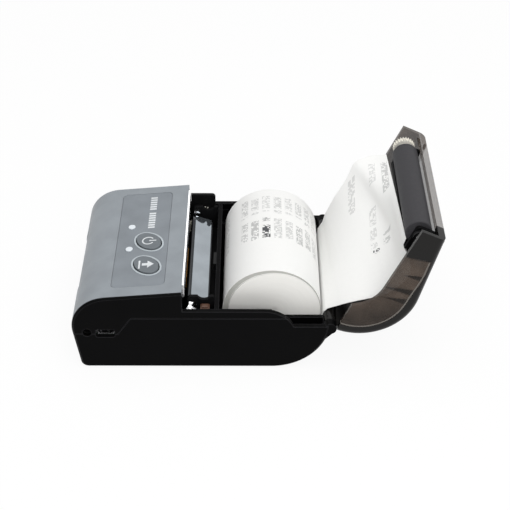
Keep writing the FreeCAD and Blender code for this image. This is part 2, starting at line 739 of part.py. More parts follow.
def battery_pack():
    reach = BATTERY_HALF
    pack = box(BATTERY_FRONT_X, BATTERY_REAR_X, -reach, reach, BATTERY_Z, BATTERY_Z + BATTERY_T)
    along = [edge for edge in pack.Edges if abs(edge.Vertexes[0].X - edge.Vertexes[1].X) > 1]
    return pack.makeFillet(BATTERY_ROUND, along)


def battery_contact(y):
    z0 = BATTERY_Z + BATTERY_T / 2
    return box(BATTERY_REAR_X, BATTERY_REAR_X + CONTACT_T, y - CONTACT_W / 2, y + CONTACT_W / 2, z0, BOARD_Z)


def post_places():
    return [(x, y) for x in (POST_FRONT_X, POST_REAR_X) for y in (POST_Y, -POST_Y)]


def housing_screw_list():
    screws = []
    for x, y in post_places():
        head = post(x, y, SCREW_HEAD_R, SCREW_SINK, SCREW_SINK + SCREW_HEAD_H)
        shank = post(x, y, SCREW_R, SCREW_SINK, SCREW_SINK + SCREW_L)
        half = SCREW_SLOT / 2
        slot = box(x - SCREW_HEAD_R, x + SCREW_HEAD_R, y - half, y + half, 0, SCREW_SINK + SCREW_SLOT)
        screws.append(fused(head, shank).cut(slot))
    return screws


def main_board():
    return box(BOARD_FRONT_X, BOARD_REAR_X, -INNER_HALF + BOARD_NEAR_GAP, INNER_HALF - BOARD_FAR_GAP,
               BOARD_Z, BOARD_TOP)


def board_components():
    """Controller chip, capacitor and the ribbon connector, standing on the main board."""
    chip_x = BOARD_REAR_X - CHIP_BACK
    chip = box(chip_x - CHIP_SIZE, chip_x, CHIP_Y, CHIP_Y + CHIP_SIZE, BOARD_TOP, BOARD_TOP + CHIP_T)
    can_x = BOARD_REAR_X - CAPACITOR_BACK
    capacitor = post(can_x, CAPACITOR_Y, CAPACITOR_R, BOARD_TOP, BOARD_TOP + CAPACITOR_H)
    edge_x = BOARD_REAR_X - CONNECTOR_EDGE
    half = CONNECTOR_L / 2
    connector = box(edge_x - CONNECTOR_W, edge_x, -half, half, BOARD_TOP, BOARD_TOP + CONNECTOR_H)
    return group(chip, capacitor, connector)


def dc_jack():
    y0 = -INNER_HALF
    body = box(JACK_X - JACK_W / 2, JACK_X + JACK_W / 2, y0, y0 + JACK_L, BOARD_TOP, BOARD_TOP + JACK_H)
    return body.cut(rod(JACK_X, BOARD_TOP + JACK_H / 2, JACK_BORE_R, y0 - 1, y0 + JACK_L - JACK_END_T))


def dc_jack_pin():
    y0 = -INNER_HALF
    return rod(JACK_X, BOARD_TOP + JACK_H / 2, JACK_PIN_R, y0 + JACK_PIN_SINK, y0 + JACK_L - JACK_END_T)


def usb_box(shrink, y0, y1):
    x0 = USB_X - USB_W / 2 + shrink
    x1 = USB_X + USB_W / 2 - shrink
    z0 = BOARD_TOP + shrink
    z1 = BOARD_TOP + USB_H - shrink
    corner = USB_H / 4 - shrink / 2
    return plate([(x0, z0, corner), (x1, z0, corner), (x1, z1, corner), (x0, z1, corner)], y0, y1)


def usb_socket():
    y0 = -INNER_HALF
    return usb_box(0, y0, y0 + USB_L).cut(usb_box(USB_SHELL_T, y0 - 1, y0 + USB_L - USB_END_T))


def usb_tongue():
    y0 = -INNER_HALF
    reach = USB_TONGUE_W / 2
    middle = BOARD_TOP + USB_H / 2
    return box(USB_X - reach, USB_X + reach, y0 + USB_TONGUE_SINK, y0 + USB_L - USB_END_T,
               middle - USB_TONGUE_T / 2, middle + USB_TONGUE_T / 2)


def head_axes():
    """Contact place on the substrate, direction towards the deck, and normal towards the platen."""
    angle = math.radians(HEAD_CONTACT)
    inward = point(-math.cos(angle), -math.sin(angle))
    toward_deck = point(math.sin(angle), -math.cos(angle))
    contact = point(PLATEN_X, PLATEN_Z) - inward * (PLATEN_R + HEAD_GAP)
    return contact, toward_deck, inward


def head_place(along, depth):
    contact, toward_deck, normal = head_axes()
    place = contact + toward_deck * along - normal * depth
    return place.x, place.z


def head_slab(front, rear, top, bottom, half):
    corners = [(-rear, top), (front, top), (front, bottom), (-rear, bottom)]
    return plate(sharp([head_place(along, depth) for along, depth in corners]), -half, half)


def head_substrate():
    return head_slab(SUBSTRATE_FRONT, SUBSTRATE_REAR, 0, SUBSTRATE_T, HEAD_HALF)


def pivot_place():
    return head_place(-PIVOT_BACK, PIVOT_DEPTH)


def head_heatsink():
    """Aluminium back of the head with an ear at each end for the pivot pins."""
    bottom = SUBSTRATE_T + HEATSINK_T
    slab = head_slab(HEATSINK_FRONT, HEATSINK_REAR, SUBSTRATE_T, bottom, HEAD_HALF)
    x, z = pivot_place()
    root = bottom - SUBSTRATE_T / 2
    web = sharp([head_place(-HEATSINK_REAR, root), head_place(PIVOT_BACK - HEATSINK_FRONT, root),
                 (x - PIVOT_BOSS_R, z), (x + PIVOT_BOSS_R * 0.8, z)])
    ear_in = HEAD_HALF - EAR_T
    ear = fused(plate(web, ear_in, HEAD_HALF), rod(x, z, PIVOT_BOSS_R, ear_in, HEAD_HALF))
    body = fused(slab, *both_sides(ear))
    return body.cut(rod(x, z, PIVOT_PIN_R + PIN_RUN, -HALF, HALF))


def beam_z():
    """Underside of the cross beam, which leaves room for the head's pivot bosses."""
    return pivot_place()[1] - PIVOT_BOSS_R - HEAD_CLEAR - BEAM_T


def head_pivot_pins():
    x, z = pivot_place()
    return group(*both_sides(rod(x, z, PIVOT_PIN_R, HEAD_HALF - EAR_T - 0.4, FRAME_IN)))


def head_leaf_spring():
    """Bent strip on the frame's cross beam, pushing the head's deck side up."""
    top = beam_z() + BEAM_T
    tip_x, tip_z = head_place(HEATSINK_FRONT - SUBSTRATE_T, SUBSTRATE_T + HEATSINK_T + RUN + SPRING_T)
    foot_x = FRAME_FRONT_X + SPRING_T
    bend_x = foot_x + SUBSTRATE_FRONT
    outline = sharp([(foot_x, top), (bend_x, top), (tip_x + SPRING_T, tip_z), (tip_x - SPRING_T, tip_z),
                     (bend_x - 3 * SPRING_T, top + SPRING_T), (foot_x, top + SPRING_T)])
    return plate(outline, -SPRING_HALF, SPRING_HALF)


def head_flex_cable():
    """Ribbon from the main board's connector up to just under the head."""
    start_x = BOARD_REAR_X - CONNECTOR_EDGE
    start_z = BOARD_TOP + CONNECTOR_H / 3
    run_x = BOARD_REAR_X + BOARD_REAR_GAP
    rise_x = FRAME_FRONT_X - FLEX_STAND_OFF
    bend_z = beam_z() + BEAM_T / 2
    top_z = bend_z + FLEX_RISE
    under = [(start_x, start_z), (run_x, start_z), (rise_x, bend_z), (rise_x, top_z)]
    over = [(rise_x - FLEX_T, top_z), (rise_x - FLEX_T, bend_z + FLEX_T), (run_x - FLEX_T, start_z + FLEX_T),
            (start_x, start_z + FLEX_T)]
    return plate(sharp(under + over), -FLEX_HALF, FLEX_HALF)


def frame_cheek():
    foot_z = FLOOR + FRAME_FOOT_H
    corners = [(FRAME_FOOT_X, FLOOR, 0), (FRAME_REAR_X, FLOOR, 0), (FRAME_REAR_X, FRAME_TOP_Z, 0),
               (FRAME_FRONT_X, FRAME_TOP_Z, FRAME_T), (FRAME_FRONT_X, foot_z, 0),
               (FRAME_FOOT_X, foot_z, FRAME_T)]
    cheek = plate(corners, FRAME_IN, FRAME_OUT)
    cradle = rod(PLATEN_X, PLATEN_Z, BUSHING_R + RUN, FRAME_IN - 1, FRAME_OUT + 1)
    return cheek.cut(cradle)


def print_frame():
    """Two cheeks with bearing cradles, tied by a beam under the head."""
    low = beam_z()
    beam = box(FRAME_FRONT_X, FRAME_REAR_X, -FRAME_IN, FRAME_IN, low, low + BEAM_T)
    frame = fused(beam, *both_sides(frame_cheek()))
    return frame.cut(rod(MOTOR_X, MOTOR_Z, MOTOR_SHAFT_R + RUN, 0, HALF))


def platen_latch():
    """Spring-steel catch standing on the inner face of a frame cheek."""
    x0 = FRAME_FRONT_X + FRAME_GAP
    foot = beam_z() + BEAM_T
    top = FRAME_TOP_Z - LATCH_DROP
    hook_x = x0 + LATCH_HOOK
    outline = [(x0, foot), (x0 + LATCH_FOOT, foot), (x0 + LATCH_FOOT, foot + LATCH_T),
               (x0 + LATCH_T, foot + LATCH_T), (x0 + LATCH_T, top - 2 * LATCH_T),
               (hook_x, top - LATCH_T / 2), (hook_x - LATCH_T, top + LATCH_T / 2), (x0, top)]
    return plate(sharp(outline), FRAME_IN - LATCH_W, FRAME_IN)


def cover_switch():
    x0 = PLATEN_X - FRAME_T
    x1 = x0 + COVER_SWITCH_L
    y0 = -FRAME_OUT - COVER_SWITCH_W
    top = RIM_Z - 2 * COVER_SWITCH_LEVER
    lever = COVER_SWITCH_LEVER
    body = box(x0, x1, y0, -FRAME_OUT, beam_z() + BEAM_T, top)
    return fused(body, box(x0 + lever, x1 - lever, y0 + lever, -FRAME_OUT - lever, top, top + lever))


def paper_sensor():
    return box(PARTITION_X - SENSOR_T, PARTITION_X, -SENSOR_HALF, SENSOR_HALF, BODY_R, BODY_R + SENSOR_H)


def gear_outline(teeth, phase):
    """Involute tooth form about the origin of the XZ plane; a tooth is centred on the phase angle."""
    pressure = math.radians(PRESSURE_ANGLE)
    pitch_r = MODULE * teeth / 2
    base_r = pitch_r * math.cos(pressure)
    tip_r = pitch_r + ADDENDUM * MODULE
    root_r = pitch_r - DEDENDUM * MODULE
    half_pitch = math.pi / (2 * teeth) - BACKLASH / (2 * pitch_r)
    start_r = max(base_r, root_r)
    radii = [start_r + (tip_r - start_r) * i / 2 for i in range(3)]
    if root_r < base_r:
        radii.insert(0, root_r)
    flank = []
    for radius in radii:
        rolled = math.acos(min(1.0, base_r / max(radius, base_r)))
        flank.append((radius, half_pitch + involute(pressure) - involute(rolled)))
    points = []
    for tooth in range(teeth):
        middle = phase + tooth * 2 * math.pi / teeth
        points += [polar(radius, middle - half) for radius, half in flank]
        points += [polar(radius, middle + half) for radius, half in reversed(flank)]
    return points


def involute(angle):
    return math.tan(angle) - angle


def polar(radius, angle):
    return point(radius * math.cos(angle), radius * math.sin(angle))


def gear(place, teeth, phase, bore_r):
    outline = gear_outline(teeth, phase)
    wheel = Part.Face(Part.makePolygon(outline + outline[:1])).extrude(FreeCAD.Vector(0, GEAR_T, 0))
    wheel.translate(point(place.x, place.z, GEAR_IN))
    return wheel.cut(rod(place.x, place.z, bore_r, GEAR_IN - 1, GEAR_OUT + 1))


def mesh_phase(driver_place, driver_teeth, driver_phase, place, teeth):
    """Phase that drops a gear's teeth into the gaps of the gear that drives it."""
    line = math.atan2(place.z - driver_place.z, place.x - driver_place.x)
    driver_pitch = 2 * math.pi / driver_teeth
    lag = (line - driver_phase) % driver_pitch
    return line + math.pi + math.pi / teeth + lag * driver_teeth / teeth


def centre_distance(teeth_a, teeth_b):
    return MODULE * (teeth_a + teeth_b) / 2


def gear_places():
    """Pinion, reduction gear, idler and platen gear axes with the cover shut."""
    platen = point(PLATEN_X, PLATEN_Z)
    away = (platen - HINGE).normalize()
    approach = point(-away.z, away.x)
    idler = platen + approach * centre_distance(IDLER_TEETH, PLATEN_TEETH)
    pinion = point(MOTOR_X, MOTOR_Z)
    span = idler - pinion
    near = centre_distance(PINION_TEETH, REDUCTION_TEETH)
    far = centre_distance(REDUCTION_TEETH, IDLER_TEETH)
    along = (near ** 2 - far ** 2 + span.Length ** 2) / (2 * span.Length)
    aside = math.sqrt(near ** 2 - along ** 2)
    unit = point(span.x, span.z).normalize()
    reduction = pinion + unit * along + point(-unit.z, unit.x) * aside
    return pinion, reduction, idler, platen


def gear_train():
    """The four meshing gears, each with a tooth set into the next one's gap."""
    pinion, reduction, idler, platen = gear_places()
    reduction_phase = mesh_phase(pinion, PINION_TEETH, 0.0, reduction, REDUCTION_TEETH)
    idler_phase = mesh_phase(reduction, REDUCTION_TEETH, reduction_phase, idler, IDLER_TEETH)
    platen_phase = mesh_phase(idler, IDLER_TEETH, idler_phase, platen, PLATEN_TEETH)
    shaft = rod(pinion.x, pinion.z, MOTOR_SHAFT_R, FRAME_IN - MOTOR_SHAFT_IN, GEAR_OUT)
    return {
        "motor_pinion": fused(gear(pinion, PINION_TEETH, 0.0, MOTOR_SHAFT_R), shaft),
        "reduction_gear": gear(reduction, REDUCTION_TEETH, reduction_phase, AXLE_R + RUN),
        "idler_gear": gear(idler, IDLER_TEETH, idler_phase, AXLE_R + RUN),
        "platen_gear": opened(gear(platen, PLATEN_TEETH, platen_phase, PLATEN_SHAFT_R)),
    }


def gear_axle(place):
    return rod(place.x, place.z, AXLE_R, FRAME_OUT, GEAR_COVER_IN)


def drive_motor():
    can = rod(MOTOR_X, MOTOR_Z, MOTOR_R, FRAME_IN - MOTOR_L, FRAME_IN)
    flat = MOTOR_R - MOTOR_FLAT
    can = can.common(box(-REACH, REACH, -HALF, HALF, MOTOR_Z - flat, MOTOR_Z + flat))
    return can.cut(rod(MOTOR_X, MOTOR_Z, MOTOR_SHAFT_R + RUN, FRAME_IN - MOTOR_SHAFT_IN - RUN, FRAME_IN + 1))


def gear_cover():
    """Plate over the gear train, standing up into the far end of the platen cradle."""
    reduction = gear_places()[1]
    x0 = reduction.x - MODULE * REDUCTION_TEETH / 2 - GEAR_COVER_MARGIN
    x_up = DECK_REAR_X + TEAR_T
    x_back = FRAME_REAR_X - GEAR_COVER_MARGIN
    step_z = PLATEN_Z - GEAR_COVER_STEP_DROP
    top_z = PLATEN_Z + GEAR_COVER_RISE
    corner = GEAR_COVER_T
    corners = [(x0, FLOOR, 0), (FRAME_REAR_X, FLOOR, 0), (FRAME_REAR_X, step_z, 0),
               (x_back, step_z + corner, 0), (x_back, top_z, corner), (x_up, top_z, 0), (x_up, step_z, 0),
               (x0, step_z, 2 * corner)]
    return plate(corners, GEAR_COVER_IN, GEAR_COVER_IN + GEAR_COVER_T)


def cover_tangent(radius, lip_drop):
    """Where the straight lid top, lowered square to itself, meets the round of the given radius."""
    lip = point(COVER_FRONT_X, COVER_LIP_Z)
    to_centre = point(ROLL_AXIS_X, COVER_ARC_Z) - lip
    turn = math.asin(COVER_R / to_centre.Length)
    heading = math.atan2(to_centre.z, to_centre.x) + turn
    normal = point(-math.sin(heading), math.cos(heading))
    touch = point(ROLL_AXIS_X, COVER_ARC_Z) + normal * radius
    start = lip - normal * lip_drop
    return touch, start, heading


def lid_face(inset, rear_z):
    """Side outline of the lid: straight top, round back, flat underside at rear_z."""
    touch, start, heading = cover_tangent(COVER_R - inset, inset)
    radius = COVER_R - inset
    start = start + point(math.cos(heading), math.sin(heading)) * (inset * math.tan(heading))
    drop = rear_z - COVER_ARC_Z
    end = point(ROLL_AXIS_X + math.sqrt(radius ** 2 - drop ** 2), rear_z)
    mid_angle = (heading + math.pi / 2) / 2
    middle = point(ROLL_AXIS_X + radius * math.cos(mid_angle), COVER_ARC_Z + radius * math.sin(mid_angle))
    corner = point(start.x, rear_z)
    edges = [Part.LineSegment(start, touch).toShape(), Part.Arc(touch, middle, end).toShape(),
             Part.LineSegment(end, corner).toShape(), Part.LineSegment(corner, start).toShape()]
    return Part.Face(Part.Wire(edges))


def lid_block(inset, half, rear_z, edge_r):
    face = lid_face(inset, rear_z)
    face.translate(FreeCAD.Vector(0, -half, 0))
    block = face.extrude(FreeCAD.Vector(0, 2 * half, 0))
    if edge_r <= 0:
        return block
    top = [edge for edge in block.Edges if is_lid_top_edge(edge, half, rear_z)]
    return block.makeFillet(edge_r, top)


def is_lid_top_edge(edge, half, rear_z):
    middle = edge.valueAt((edge.FirstParameter + edge.LastParameter) / 2)
    on_side = abs(abs(middle.y) - half) < 1e-4
    upright = abs(edge.Vertexes[0].X - edge.Vertexes[1].X) < 1e-4
    return on_side and not upright and middle.z > rear_z + 1e-3


def cover_shell():
    """Smoked lid: a thin moulding with side skirts, front lip, inner ribs and the hinge barrel."""
    rear_z = REAR_RIM_Z + SKIRT_REAR_GAP
    shell = lid_block(0, HALF, rear_z, COVER_EDGE_R)
    hollow = lid_block(COVER_T, COVER_INNER_HALF, rear_z - COVER_T, 0)
    hollow = hollow.common(box(COVER_FRONT_X + COVER_T, REACH, -HALF, HALF, 0, REACH))
    shell = shell.cut(hollow)
    mouth = box(COVER_FRONT_X - 1, COVER_FRONT_X + COVER_T + 1, -COVER_INNER_HALF, COVER_INNER_HALF,
                0, COVER_LIP_Z - LIP_DEPTH)
    shell = shell.cut(mouth)
    under = box(-REACH, RIM_ARC_X, -HALF - 1, HALF + 1, 0, RIM_Z + SKIRT_REVEAL)
    shoulder = rod(RIM_ARC_X, RIM_Z - RIM_ARC_R, RIM_ARC_R + SKIRT_REVEAL, -HALF - 1, HALF + 1)
    shell = shell.cut(under).cut(shoulder)
    barrel = rod(HINGE_X, HINGE_Z, BARREL_R, -LUG_IN + RUN, LUG_IN - RUN)
    shell = fused(shell, barrel, *cover_ribs())
    shell = shell.cut(rod(HINGE_X, HINGE_Z, HINGE_PIN_R + PIN_RUN, -HALF, HALF))
    for lug_room in both_sides(rod(HINGE_X, HINGE_Z, BARREL_R + RUN, LUG_IN - RUN, HALF + 1)):
        shell = shell.cut(lug_room)
    return opened(shell)


def cover_ribs():
    """Stiffening ribs inside the lid, beside the paper."""
    inner_r = COVER_R - COVER_T
    ribs = []
    for degrees in RIB_ANGLES:
        rib = box(inner_r - RIB_DEPTH, inner_r + COVER_T / 2, COVER_INNER_HALF - RIB_W,
                  COVER_INNER_HALF + COVER_T / 2, -RIB_T / 2, RIB_T / 2)
        rib.rotate(FreeCAD.Vector(0, 0, 0), ALONG_Y, -degrees)
        rib.translate(point(ROLL_AXIS_X, COVER_ARC_Z))
        ribs += both_sides(rib)
    return ribs


def lid_inner_z(x):
    """Height of the straight part of the lid's inner face at x."""
    touch, start, heading = cover_tangent(COVER_R - COVER_T, COVER_T)
    return start.z + (x - start.x) * math.tan(heading)


def platen_bracket():
    """Black carrier under the lid: a bar across it with a cheek at each end of the platen."""
    bar_x1 = BRACKET_BAR_X + BRACKET_BAR_T
    front = PLATEN_X - BRACKET_FRONT
    cheek = [(front, BRACKET_LOW_Z, BRACKET_T), (bar_x1, BRACKET_LOW_Z, 0), (bar_x1, lid_inner_z(bar_x1), 0),
             (front, lid_inner_z(front), 0)]
    bar = sharp([(BRACKET_BAR_X, BRACKET_LOW_Z), (bar_x1, BRACKET_LOW_Z),
                 (bar_x1, lid_inner_z(bar_x1)), (BRACKET_BAR_X, lid_inner_z(BRACKET_BAR_X))])
    cheeks = both_sides(plate(cheek, BRACKET_IN, BRACKET_OUT))
    body = fused(plate(bar, -BRACKET_OUT, BRACKET_OUT), *cheeks)
    return opened(body.cut(rod(PLATEN_X, PLATEN_Z, PLATEN_SHAFT_R + PIN_RUN, -HALF, HALF)))


def platen_bushings():
    ring = rod(PLATEN_X, PLATEN_Z, BUSHING_R, BRACKET_OUT, FRAME_OUT)
    ring = ring.cut(rod(PLATEN_X, PLATEN_Z, PLATEN_SHAFT_R + PIN_RUN, 0, HALF))
    return opened(group(*both_sides(ring)))


def platen_shaft():
    return opened(rod(PLATEN_X, PLATEN_Z, PLATEN_SHAFT_R, -FRAME_OUT - GEAR_GAP, GEAR_OUT))


def platen_roller():
    roller = rod(PLATEN_X, PLATEN_Z, PLATEN_R, -ROLLER_HALF, ROLLER_HALF)
    ends = [edge for edge in roller.Edges if len(edge.Vertexes) == 1]
    roller = roller.makeChamfer(PLATEN_END_CUT, ends)
    return opened(roller.cut(rod(PLATEN_X, PLATEN_Z, PLATEN_SHAFT_R, -HALF, HALF)))


def lip_buffers():
    """Round rubber stops on the lid's outer face, near its front corners."""
    touch, start, heading = cover_tangent(COVER_R, 0)
    along = point(math.cos(heading), math.sin(heading))
    normal = point(-math.sin(heading), math.cos(heading))
    place = start + along * BUFFER_BACK + point(0, 0, HALF - BUFFER_INSET)
    return opened(group(*both_sides(Part.makeCylinder(BUFFER_R, BUFFER_H, place, normal))))


def paper_roll():
    """Wound paper on a small open core, with a slack outer turn that stands off on one side."""
    half = PAPER_W / 2
    turn = rod(ROLL_AXIS_X, ROLL_Z, ROLL_R, -half, half)
    turn = turn.cut(rod(ROLL_AXIS_X, ROLL_Z, ROLL_R - PAPER_T, -half - 1, half + 1))
    offset = polar(LOOSE_GAP / 2, math.radians(LOOSE_ANGLE + 180))
    wound_r = ROLL_R - PAPER_T / 2 - LOOSE_GAP / 2
    wound = rod(ROLL_AXIS_X + offset.x, ROLL_Z + offset.z, wound_r, -half, half)
    wound = wound.cut(rod(ROLL_AXIS_X, ROLL_Z, ROLL_CORE_R, -half - 1, half + 1))
    return fused(turn, wound)


def sector(radius, thickness, centre_x, centre_z, from_deg, to_deg, half):
    """A curved sheet: the ring between two radii, from one angle to another."""
    start = math.radians(from_deg)
    end = math.radians(to_deg)
    centre = point(centre_x, centre_z)
    outer = [centre + polar(radius, a) for a in (start, (start + end) / 2, end)]
    inner = [centre + polar(radius - thickness, a) for a in (end, (start + end) / 2, start)]
    edges = [Part.Arc(*outer).toShape(), Part.LineSegment(outer[2], inner[0]).toShape(),
             Part.Arc(*inner).toShape(), Part.LineSegment(inner[2], outer[0]).toShape()]
    face = Part.Face(Part.Wire(edges))
    face.translate(FreeCAD.Vector(0, -half, 0))
    return face.extrude(FreeCAD.Vector(0, 2 * half, 0))


def paper_tail():
    """Loose end of the roll lying up the rear wall of the bay."""
    return sector(BAY_R, PAPER_T, ROLL_AXIS_X, BODY_R, TAIL_FROM, TAIL_TO, PAPER_W / 2)


def paper_web():
    """Sheet lying along the lid's inner face from the hinge to the platen bracket."""
    inner_r = COVER_R - COVER_T
    touch, start, heading = cover_tangent(inner_r, COVER_T)
    round_part = sector(inner_r, PAPER_T, ROLL_AXIS_X, COVER_ARC_Z, WEB_START, math.degrees(heading) + 90,
                        PAPER_W / 2)
    x0 = BRACKET_BAR_X + BRACKET_BAR_T + PAPER_T
    z0 = lid_inner_z(x0)
    down = point(math.sin(heading), -math.cos(heading)) * PAPER_T
    flat = plate(sharp([(x0, z0), (touch.x, touch.z), (touch.x + down.x, touch.z + down.z),
                        (x0 + down.x, z0 + down.z)]), -PAPER_W / 2, PAPER_W / 2)
    return opened(fused(round_part, flat))


def hinge_pins():
    end = LUG_OUT - LUG_SKIN
    return group(*both_sides(rod(HINGE_X, HINGE_Z, HINGE_PIN_R, end - HINGE_PIN_L, end)))


def build():
    shell = base_shell()
    pinion, reduction, idler, platen = gear_places()
    nodes = {
        "lower_housing": lower_housing(shell),
        "upper_housing": upper_housing(shell),
        "deck_panel": deck_panel(),
        "front_window": front_window(),
        "keypad_panel": keypad_panel(),
        "button_bezels": group(*[button_bezel(y) for y in button_ys()]),
        "power_button": button(button_ys()[0]),
        "feed_button": button(button_ys()[1]),
        "status_lights": group(*[status_light(y) for y in LIGHT_YS]),
        "keypad_board": keypad_board(),
        "tact_switches": group(*[tact_switch(y) for y in button_ys()]),
        "tear_bar": tear_bar(),
        "main_board": main_board(),
        "board_components": board_components(),
        "dc_jack": dc_jack(),
        "dc_jack_pin": dc_jack_pin(),
        "usb_socket": usb_socket(),
        "usb_tongue": usb_tongue(),
        "battery_pack": battery_pack(),
        "battery_contacts": group(*[battery_contact(i * CONTACT_PITCH) for i in (-1, 0, 1)]),
        "battery_door": battery_door(),
        "housing_screws": group(*housing_screw_list()),
        "print_frame": print_frame(),
        "head_heatsink": head_heatsink(),
        "head_substrate": head_substrate(),
        "head_pivot_pins": head_pivot_pins(),
        "head_leaf_spring": head_leaf_spring(),
        "head_flex_cable": head_flex_cable(),
        "platen_latches": group(*both_sides(platen_latch())),
        "cover_switch": cover_switch(),
        "paper_sensor": paper_sensor(),
        "drive_motor": drive_motor(),
        "reduction_axle": gear_axle(reduction),
        "idler_axle": gear_axle(idler),
        "gear_cover": gear_cover(),
        "hinge_pins": hinge_pins(),
        "cover_shell": cover_shell(),
        "platen_bracket": platen_bracket(),
        "platen_bushings": platen_bushings(),
        "platen_shaft": platen_shaft(),
        "platen_roller": platen_roller(),
        "lip_buffers": lip_buffers(),
        "paper_roll": paper_roll(),
        "paper_tail": paper_tail(),
        "paper_web": paper_web(),
    }
    nodes.update(gear_train())
    return nodes


os.makedirs("parts", exist_ok=True)
for name, shape in build().items():
    shape.exportStep(f"parts/{name}.step")
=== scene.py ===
"""Looks of the portable receipt printer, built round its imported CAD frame.

Lengths are in millimetres and angles in degrees, unless a comment says otherwise."""

import json
import math

import bpy
from mathutils import Matrix, Vector


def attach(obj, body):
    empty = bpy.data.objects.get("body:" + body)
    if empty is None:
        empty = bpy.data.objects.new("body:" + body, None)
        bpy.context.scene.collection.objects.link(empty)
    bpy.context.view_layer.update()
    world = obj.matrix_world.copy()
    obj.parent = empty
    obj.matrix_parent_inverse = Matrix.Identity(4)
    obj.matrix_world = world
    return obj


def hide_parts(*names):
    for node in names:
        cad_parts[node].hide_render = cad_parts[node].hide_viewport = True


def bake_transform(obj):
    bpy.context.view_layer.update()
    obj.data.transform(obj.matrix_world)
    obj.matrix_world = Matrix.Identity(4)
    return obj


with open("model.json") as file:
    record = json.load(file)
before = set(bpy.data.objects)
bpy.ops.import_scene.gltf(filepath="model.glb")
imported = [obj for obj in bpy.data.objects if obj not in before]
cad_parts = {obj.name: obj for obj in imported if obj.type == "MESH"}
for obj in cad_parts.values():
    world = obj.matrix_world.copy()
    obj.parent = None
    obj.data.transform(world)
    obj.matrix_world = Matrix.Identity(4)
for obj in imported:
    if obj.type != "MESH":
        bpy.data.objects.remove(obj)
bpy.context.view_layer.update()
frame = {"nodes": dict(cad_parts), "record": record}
nodes = frame["nodes"]
MM = 0.001

# Places that follow from the part's source
HINGE_X, HINGE_Z = 50.9, 19.65
ROLL_X, ROLL_Z, ROLL_R = 27.8, 21.9, 19.6
BAY_R, BAY_Z = 20.9, 22.8
PAPER_HALF = 28.5
DECK_REAR_X, DECK_REAR_Z, DECK_SLOPE = -7.4, 37.7, 5.0
BUTTON_BACK, BUTTON_TOP = 14.9, 0.6
POWER_Y, FEED_Y = -2.7, -18.72
KEYPAD_TOP = -0.1

# Open lid's outer shell: the axis and radius of its round part, and where its flat part faces
LID_CENTRE, LID_R, LID_FLAT_FACES = (62.25, 39.85), 23.2, -15.3
# Start of the lid's dense corner towards the lip, and start of its side walls across the printer
LID_CORNER, LID_SIDE = 18.5, 30.0
# Ribs inside the lid and their shadows, painted as dark streaks on its near side: place towards the
# lip, length, half width
LID_RIB_SHADOWS = ((10.9, 8.5, 1.35), (3.6, 14.5, 1.5), (-1.2, 10.0, 1.5))

PAPER_WHITE = (0.9, 0.9, 0.885)


# Camera, worked out from the deck, rim and roll lines of the photograph

CAMERA_YAW, CAMERA_PITCH, CAMERA_ROLL = 0.07, 36.57, 0.15
# Pixels
PICTURE_WIDTH, FOCAL_LENGTH = 510.0, 1279.0
SENSOR_WIDTH = 36.0
# Metres
CAMERA_PLACE = (0.02056, -0.42534, 0.34335)
VIEW_START, VIEW_END = 0.01, 20.0


def aim_camera():
    yaw, pitch, roll = (math.radians(a) for a in (CAMERA_YAW, CAMERA_PITCH, CAMERA_ROLL))
    level_share = math.cos(pitch)
    forward = Vector((math.sin(yaw) * level_share, math.cos(yaw) * level_share, -math.sin(pitch)))
    level = Vector((math.cos(yaw), -math.sin(yaw), 0))
    rise = level.cross(forward)
    right = level * math.cos(roll) + rise * math.sin(roll)
    up = rise * math.cos(roll) - level * math.sin(roll)
    data = bpy.data.cameras.new("camera")
    data.sensor_width = SENSOR_WIDTH
    data.lens = SENSOR_WIDTH * FOCAL_LENGTH / PICTURE_WIDTH
    data.clip_start = VIEW_START
    data.clip_end = VIEW_END
    camera = bpy.data.objects.new("camera", data)
    bpy.context.scene.collection.objects.link(camera)
    turn = Matrix((right, up, -forward)).transposed()
    camera.matrix_world = Matrix.Translation(CAMERA_PLACE) @ turn.to_4x4()
    bpy.context.scene.camera = camera


# Material tools

EVEN = (1, 1, 1)
# Colour sockets of the Mix node
MIX_LOW, MIX_HIGH, MIX_RESULT = 6, 7, 2
# Most of a noise texture's values lie between these
NOISE_LOW, NOISE_HIGH = 0.3, 0.7
# How sharply the painted edge highlight and shade rise where the softened shading leaves the flat
# face
EDGE_SHADING_GAIN = 4.0
BEVEL_SAMPLES = 6


